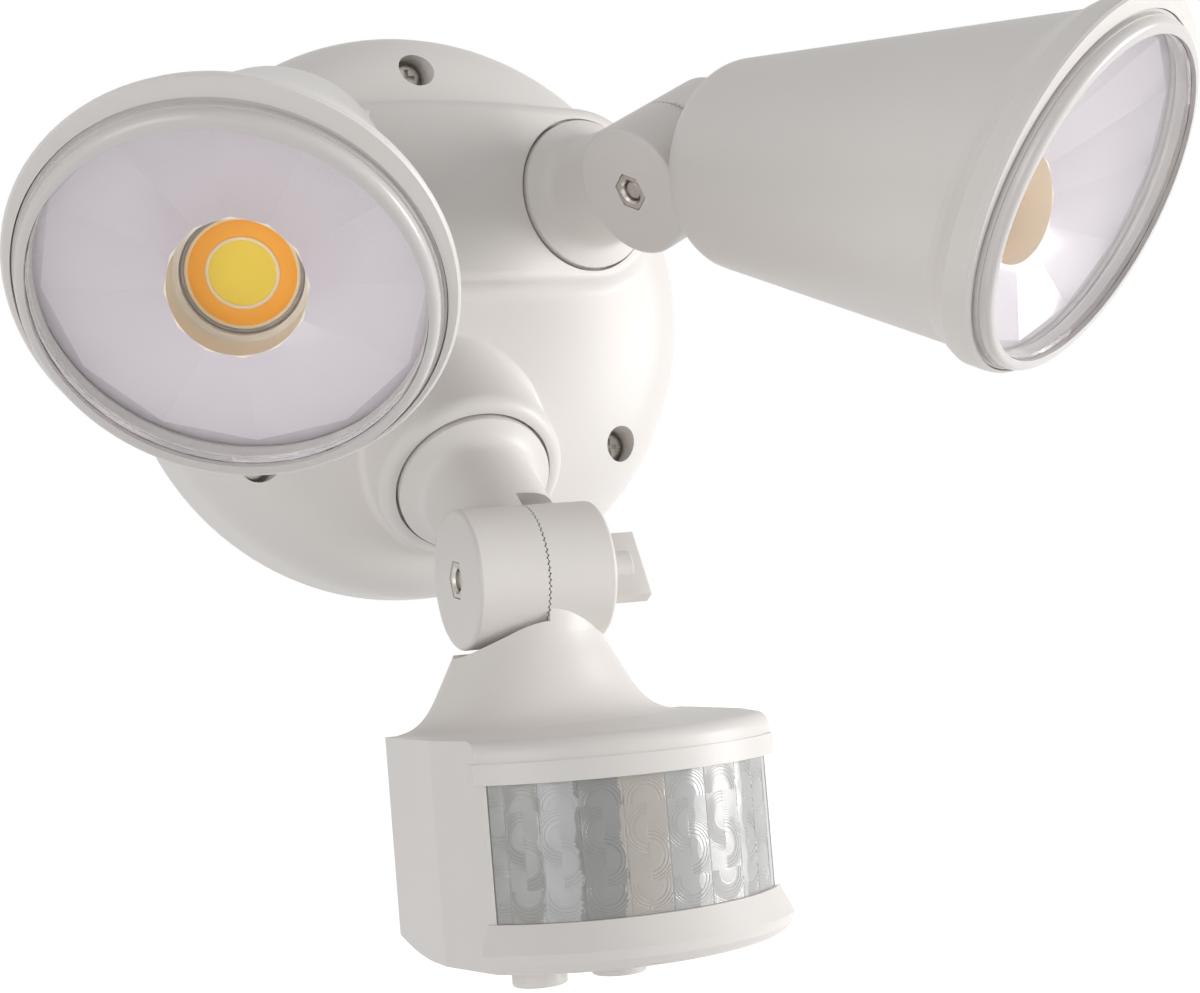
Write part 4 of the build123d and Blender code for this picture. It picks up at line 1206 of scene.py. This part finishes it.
    def edge_shade(self) -> Skin:
        """The thin uneven dark line around the window: painted shade in the groove at its edge.

        Returns:
            The line, as one looped surface.
        """
        rings = []
        lift = self.window_edge + self.edge_shade_size
        for n in range(self.edge_shade_steps):
            t = 2 * math.pi * n / self.edge_shade_steps
            size = self.edge_shade_size + self.edge_shade_swing * sum(wave.at(t) for wave in self.edge_shade_waves)
            ring = []
            for m in range(self.edge_shade_sides):
                a = 2 * math.pi * m / self.edge_shade_sides
                grow = size * math.cos(a)
                x = (self.window[0] + grow) * math.cos(t)
                y = (self.window[1] + grow) * math.sin(t)
                ring.append((x, y, lift + self.edge_shade_flat * size * math.sin(a)))
            rings.append(ring)
        return Skin(rings, looped=True)


@dataclass(frozen=True)
class ReflectionBand:
    """A band of painted reflection and shade on the window film: where it ends, in degrees, and
    how light and warm it is painted.
    """

    end: float
    tone: float
    warmth: float


@dataclass
class MotionSensor(Assembly):
    """The sensor: bracket, lid, front, ring-ridged window film, board and knobs."""

    nodes: Sequence[str] = (
        "sensor_bracket",
        "sensor_lid",
        "sensor_front",
        "sensor_board",
        "pir_element",
        "lux_knob",
        "time_knob",
    )
    lens_centre: float = 25.6
    film_radius: float = 38.48
    film_thickness: float = 0.55
    top: float = -40.95
    bottom: float = -67.75
    tiers: tuple[float, float] = (-46.4, -61.5)
    columns: tuple[float, ...] = (-51.3, -46, -35.5, -24, -11, 2, 15.5, 29, 38, 48, 51.3)
    first_ring: float = 2.3
    relief: float = 0.13
    groove: float = 0.0045  # half width of the grooves between columns, in radians
    edge_seats: tuple[float, float] = (-1.5, 0.5)
    top_seat: float = 0.3
    bottom_seat: float = -0.6
    split_seat: float = 2.6
    ring_depth: float = 0.9
    crown_depth: float = 0.25
    clear_rings: float = 1.9
    fade_power: float = 1.5
    # The edges of the painted reflection bands wander with height and follow the ring ridges.
    edge_waves: tuple[Wave, ...] = (Wave(0.45, 0.45), Wave(1.3, 0.3, 1.0))
    edge_follow: float = 0.9
    # Painted shade: the film is darker in the ring grooves and lighter on the ridge tops.
    painted_ridge_shade: float = 0.12
    lens_middle: float = 0.6
    # Bands of painted reflection and painted shade across the film.
    reflection_bands: tuple[ReflectionBand, ...] = (
        ReflectionBand(-46.0, 0.30, 0.15),
        ReflectionBand(-36.0, 0.22, 0.2),
        ReflectionBand(-25.0, 0.62, 0.0),
        ReflectionBand(-12.0, 0.06, 0.05),
        ReflectionBand(1.5, 0.50, 0.75),
        ReflectionBand(11.5, 0.42, 0.15),
        ReflectionBand(15.2, 0.95, 0.1),
        ReflectionBand(28.0, 0.82, 0.25),
        ReflectionBand(32.0, 0.96, 0.1),
        ReflectionBand(47.5, 0.45, 0.15),
        ReflectionBand(60.0, 0.75, 0.1),
    )
    across: int = 620
    tall: int = 226

    def build(self) -> None:
        """Build the window film in place of the plain one."""
        place = ARMS[Arm.SENSOR].head()
        film = self.add("window_film", self.film(), place, "sensor_head", "fresnel")
        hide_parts("fresnel_lens")

    def film(self) -> Sheet:
        """A curved sheet whose front carries the rings of many small lenses.

        Returns:
            The sheet, with its painted reflection and shade, as tone and warmth, at each point.
        """
        start, end = self.columns[0], self.columns[-1]
        angles = [start + (end - start) * n / self.across for n in range(self.across + 1)]
        ups = [self.top + (self.bottom - self.top) * n / self.tall for n in range(self.tall + 1)]
        painted_reflections: dict[str, list[float]] = {"tone": [], "warmth": []}
        front = []
        for up in ups:
            row = []
            for angle in angles:
                ridge = self.ridge(angle, up)
                radius = self.film_radius - self.relief * (1 - ridge)
                row.append(self.point(radius, angle, up))
                # Painted reflection and shade at this point.
                tone, warmth = self.tint(angle, up, ridge)
                painted_reflections["tone"].append(tone)
                painted_reflections["warmth"].append(warmth)
            front.append(row)
        inner = self.film_radius - self.film_thickness
        edges = [[self.point(inner, angle, up) for angle in angles] for up in (ups[0], ups[-1])]
        return Sheet(front, edges[0], edges[1], painted_reflections)

    def point(self, radius: float, angle: float, up: float) -> tuple[float, float, float]:
        """A point of the film's cylinder."""
        a = math.radians(angle)
        return (radius * math.sin(a), up, self.lens_centre + radius * math.cos(a))

    def tint(self, angle: float, up: float, ridge: float) -> tuple[float, float]:
        """How light and how warm the film is painted: bands of painted reflection and shade whose
        edges follow the ridges.

        Args:
            angle: Place around the film, in degrees.
            up: Height of the place.
            ridge: Height of the ring ridges there.

        Returns:
            Tone and warmth, each from 0 to 1.
        """
        wander = sum(wave.at(up) for wave in self.edge_waves)
        place = angle + wander + self.edge_follow * (ridge - EVEN)
        band = next((band for band in self.reflection_bands if place < band.end), self.reflection_bands[-1])
        # Painted shade: darker in the ring grooves, lighter on the ridge tops.
        lens = self.painted_ridge_shade * (ridge - self.lens_middle)
        return min(1.0, max(0.0, band.tone + lens)), band.warmth

    def seat(self, number: int, side: float, up: float) -> float:
        """Height of the middle of the rings in a lens.

        Args:
            number: Number of the column.
            side: Distance from the column's middle line.
            up: Height of the place.

        Returns:
            Height of the middle of the rings.
        """
        high, low = self.tiers
        centre = (high + low) / 2
        if number in (0, len(self.columns) - 3):
            return high + self.edge_seats[0] if up > centre else low + self.edge_seats[1]
        if up > high:
            return high + self.top_seat
        if up < low:
            return low + self.bottom_seat
        return centre + self.split_seat if side < 0 else centre - self.split_seat

    def ridge(self, angle: float, up: float) -> float:
        """Height of the ring ridges.

        Args:
            angle: Place around the film, in degrees.
            up: Height of the place.

        Returns:
            A height from 0 to 1.
        """
        number = 0
        while number < len(self.columns) - 2 and angle >= self.columns[number + 1]:
            number += 1
        if number == len(self.columns) - 2:
            return 1.0
        middle = (self.columns[number] + self.columns[number + 1]) / 2
        side = math.radians(angle - middle) * self.film_radius
        edge = math.radians(min(abs(angle - self.columns[n]) for n in (number, number + 1)))
        if edge < self.groove:
            return 0.0
        distance = math.hypot(side, up - self.seat(number, side, up)) / self.first_ring
        zone = (distance * distance) % 1.0
        if distance < 1.0:
            return 1.0 - self.crown_depth * zone
        fade = min(1.0, self.clear_rings / distance) ** self.fade_power
        return 1.0 - self.ring_depth * fade * zone


# ---- studio ---------------------------------------------------------------------------------
@dataclass(frozen=True)
class SoftBox:
    """A large soft lamp aimed at a point."""

    name: str
    place: tuple[float, float, float]
    size: float
    watts: float
    aim: tuple[float, float, float] = (0.0, 0.0, 0.0)

    def light(self) -> None:
        """Put the lamp in the scene."""
        data = bpy.data.lights.new(self.name, "AREA")
        data.shape = "SQUARE"
        data.size = self.size
        data.energy = self.watts
        lamp = bpy.data.objects.new(self.name, data)
        bpy.context.scene.collection.objects.link(lamp)
        lamp.location = self.place
        aim = Vector(self.aim) - Vector(self.place)
        lamp.rotation_euler = aim.to_track_quat("-Z", "Y").to_euler()


@dataclass(frozen=True)
class Studio:
    """Floor, world, lamps and camera."""

    eye: tuple[float, float, float] = (-0.1710, -0.5394, -0.0739)
    forward: tuple[float, float, float] = (0.385, 0.9218, 0.0466)
    down: tuple[float, float, float] = (-0.0586, 0.0748, -0.9955)
    lens: float = 66.05
    sensor_width: float = 36.0
    clip_start: float = 0.01
    clip_end: float = 50.0
    floor_height: float = -0.33
    floor_half: float = 6.0
    floor_colour: Colour = (0.9, 0.9, 0.9, 1.0)
    floor_roughness: float = 0.9
    white: Colour = (1.0, 1.0, 1.0, 1.0)
    ambient: float = 0.36
    floor_glow: float = 0.8
    lamps: tuple[SoftBox, ...] = (
        SoftBox("key", (1.28, -0.68, 0.02), size=0.62, watts=13.6),
        SoftBox("fill", (-1.2, -0.9, 0.1), size=0.8, watts=5.6),
    )

    def build(self) -> None:
        """Set up the whole studio."""
        self.floor()
        self.world()
        for lamp in self.lamps:
            lamp.light()
        self.camera()
        bpy.context.scene.view_settings.view_transform = "Standard"

    def floor(self) -> None:
        """A plain white floor that keeps the object's shadow."""
        mesh = bpy.data.meshes.new("floor")
        half = self.floor_half
        corners = ((-half, -half), (half, -half), (half, half), (-half, half))
        mesh.from_pydata([(x, y, self.floor_height) for x, y in corners], [], [(0, 1, 2, 3)])
        floor = bpy.data.objects.new("floor", mesh)
        bpy.context.scene.collection.objects.link(floor)
        builder = MaterialBuilder("floor_paint")
        path = builder.tree.nodes.new("ShaderNodeLightPath")
        seen = math_node(
            builder.tree, "MAXIMUM", path.outputs["Is Camera Ray"], path.outputs["Is Glossy Ray"]
        )
        glow = math_node(builder.tree, "MULTIPLY", seen, self.floor_glow)
        builder.tree.links.new(glow, builder.shader.inputs["Emission Strength"])
        builder.constant(
            Base_Color=self.floor_colour,
            Roughness=self.floor_roughness,
            Emission_Color=self.white,
        )
        mesh.materials.append(builder.material)

    def world(self) -> None:
        """White behind the object, and a soft even light around it."""
        world = bpy.data.worlds.new("studio")
        world.use_nodes = True
        tree = world.node_tree
        shade = tree.nodes["Background"]
        shade.inputs["Color"].default_value = self.white
        path = tree.nodes.new("ShaderNodeLightPath")
        seen = math_node(
            tree, "MAXIMUM", path.outputs["Is Camera Ray"], path.outputs["Is Transmission Ray"]
        )
        seen = math_node(tree, "MAXIMUM", seen, path.outputs["Is Glossy Ray"])
        level = math_node(tree, "MULTIPLY", seen, 1.0 - self.ambient)
        strength = math_node(tree, "ADD", level, self.ambient)
        tree.links.new(strength, shade.inputs["Strength"])
        bpy.context.scene.world = world

    def camera(self) -> None:
        """The camera where the photograph was taken from."""
        ahead = Vector(self.forward).normalized()
        up = -Vector(self.down)
        right = ahead.cross(up).normalized()
        up = right.cross(ahead).normalized()
        facing = Matrix((right, up, -ahead)).transposed().to_4x4()
        data = bpy.data.cameras.new("camera")
        data.sensor_width = self.sensor_width
        data.lens = self.lens
        data.clip_start = self.clip_start
        data.clip_end = self.clip_end
        camera = bpy.data.objects.new("camera", data)
        bpy.context.scene.collection.objects.link(camera)
        camera.matrix_world = Matrix.Translation(self.eye) @ facing
        bpy.context.scene.camera = camera


def main() -> None:
    """Build the light's dressed model and its studio."""
    logging.basicConfig(level=logging.INFO, format="%(message)s")
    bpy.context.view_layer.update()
    palette = Palette()
    WallBase(palette).dress()
    for arm in ARMS:
        swivel = SwivelArm(palette, arm=arm)
        swivel.dress()
        swivel.build()
    for arm in (Arm.LEFT, Arm.RIGHT):
        head = LampHead(palette, arm=arm)
        head.dress()
        head.build()
    sensor = MotionSensor(palette)
    sensor.dress()
    sensor.build()
    Studio().build()


if __name__ == "__main__":
    main()
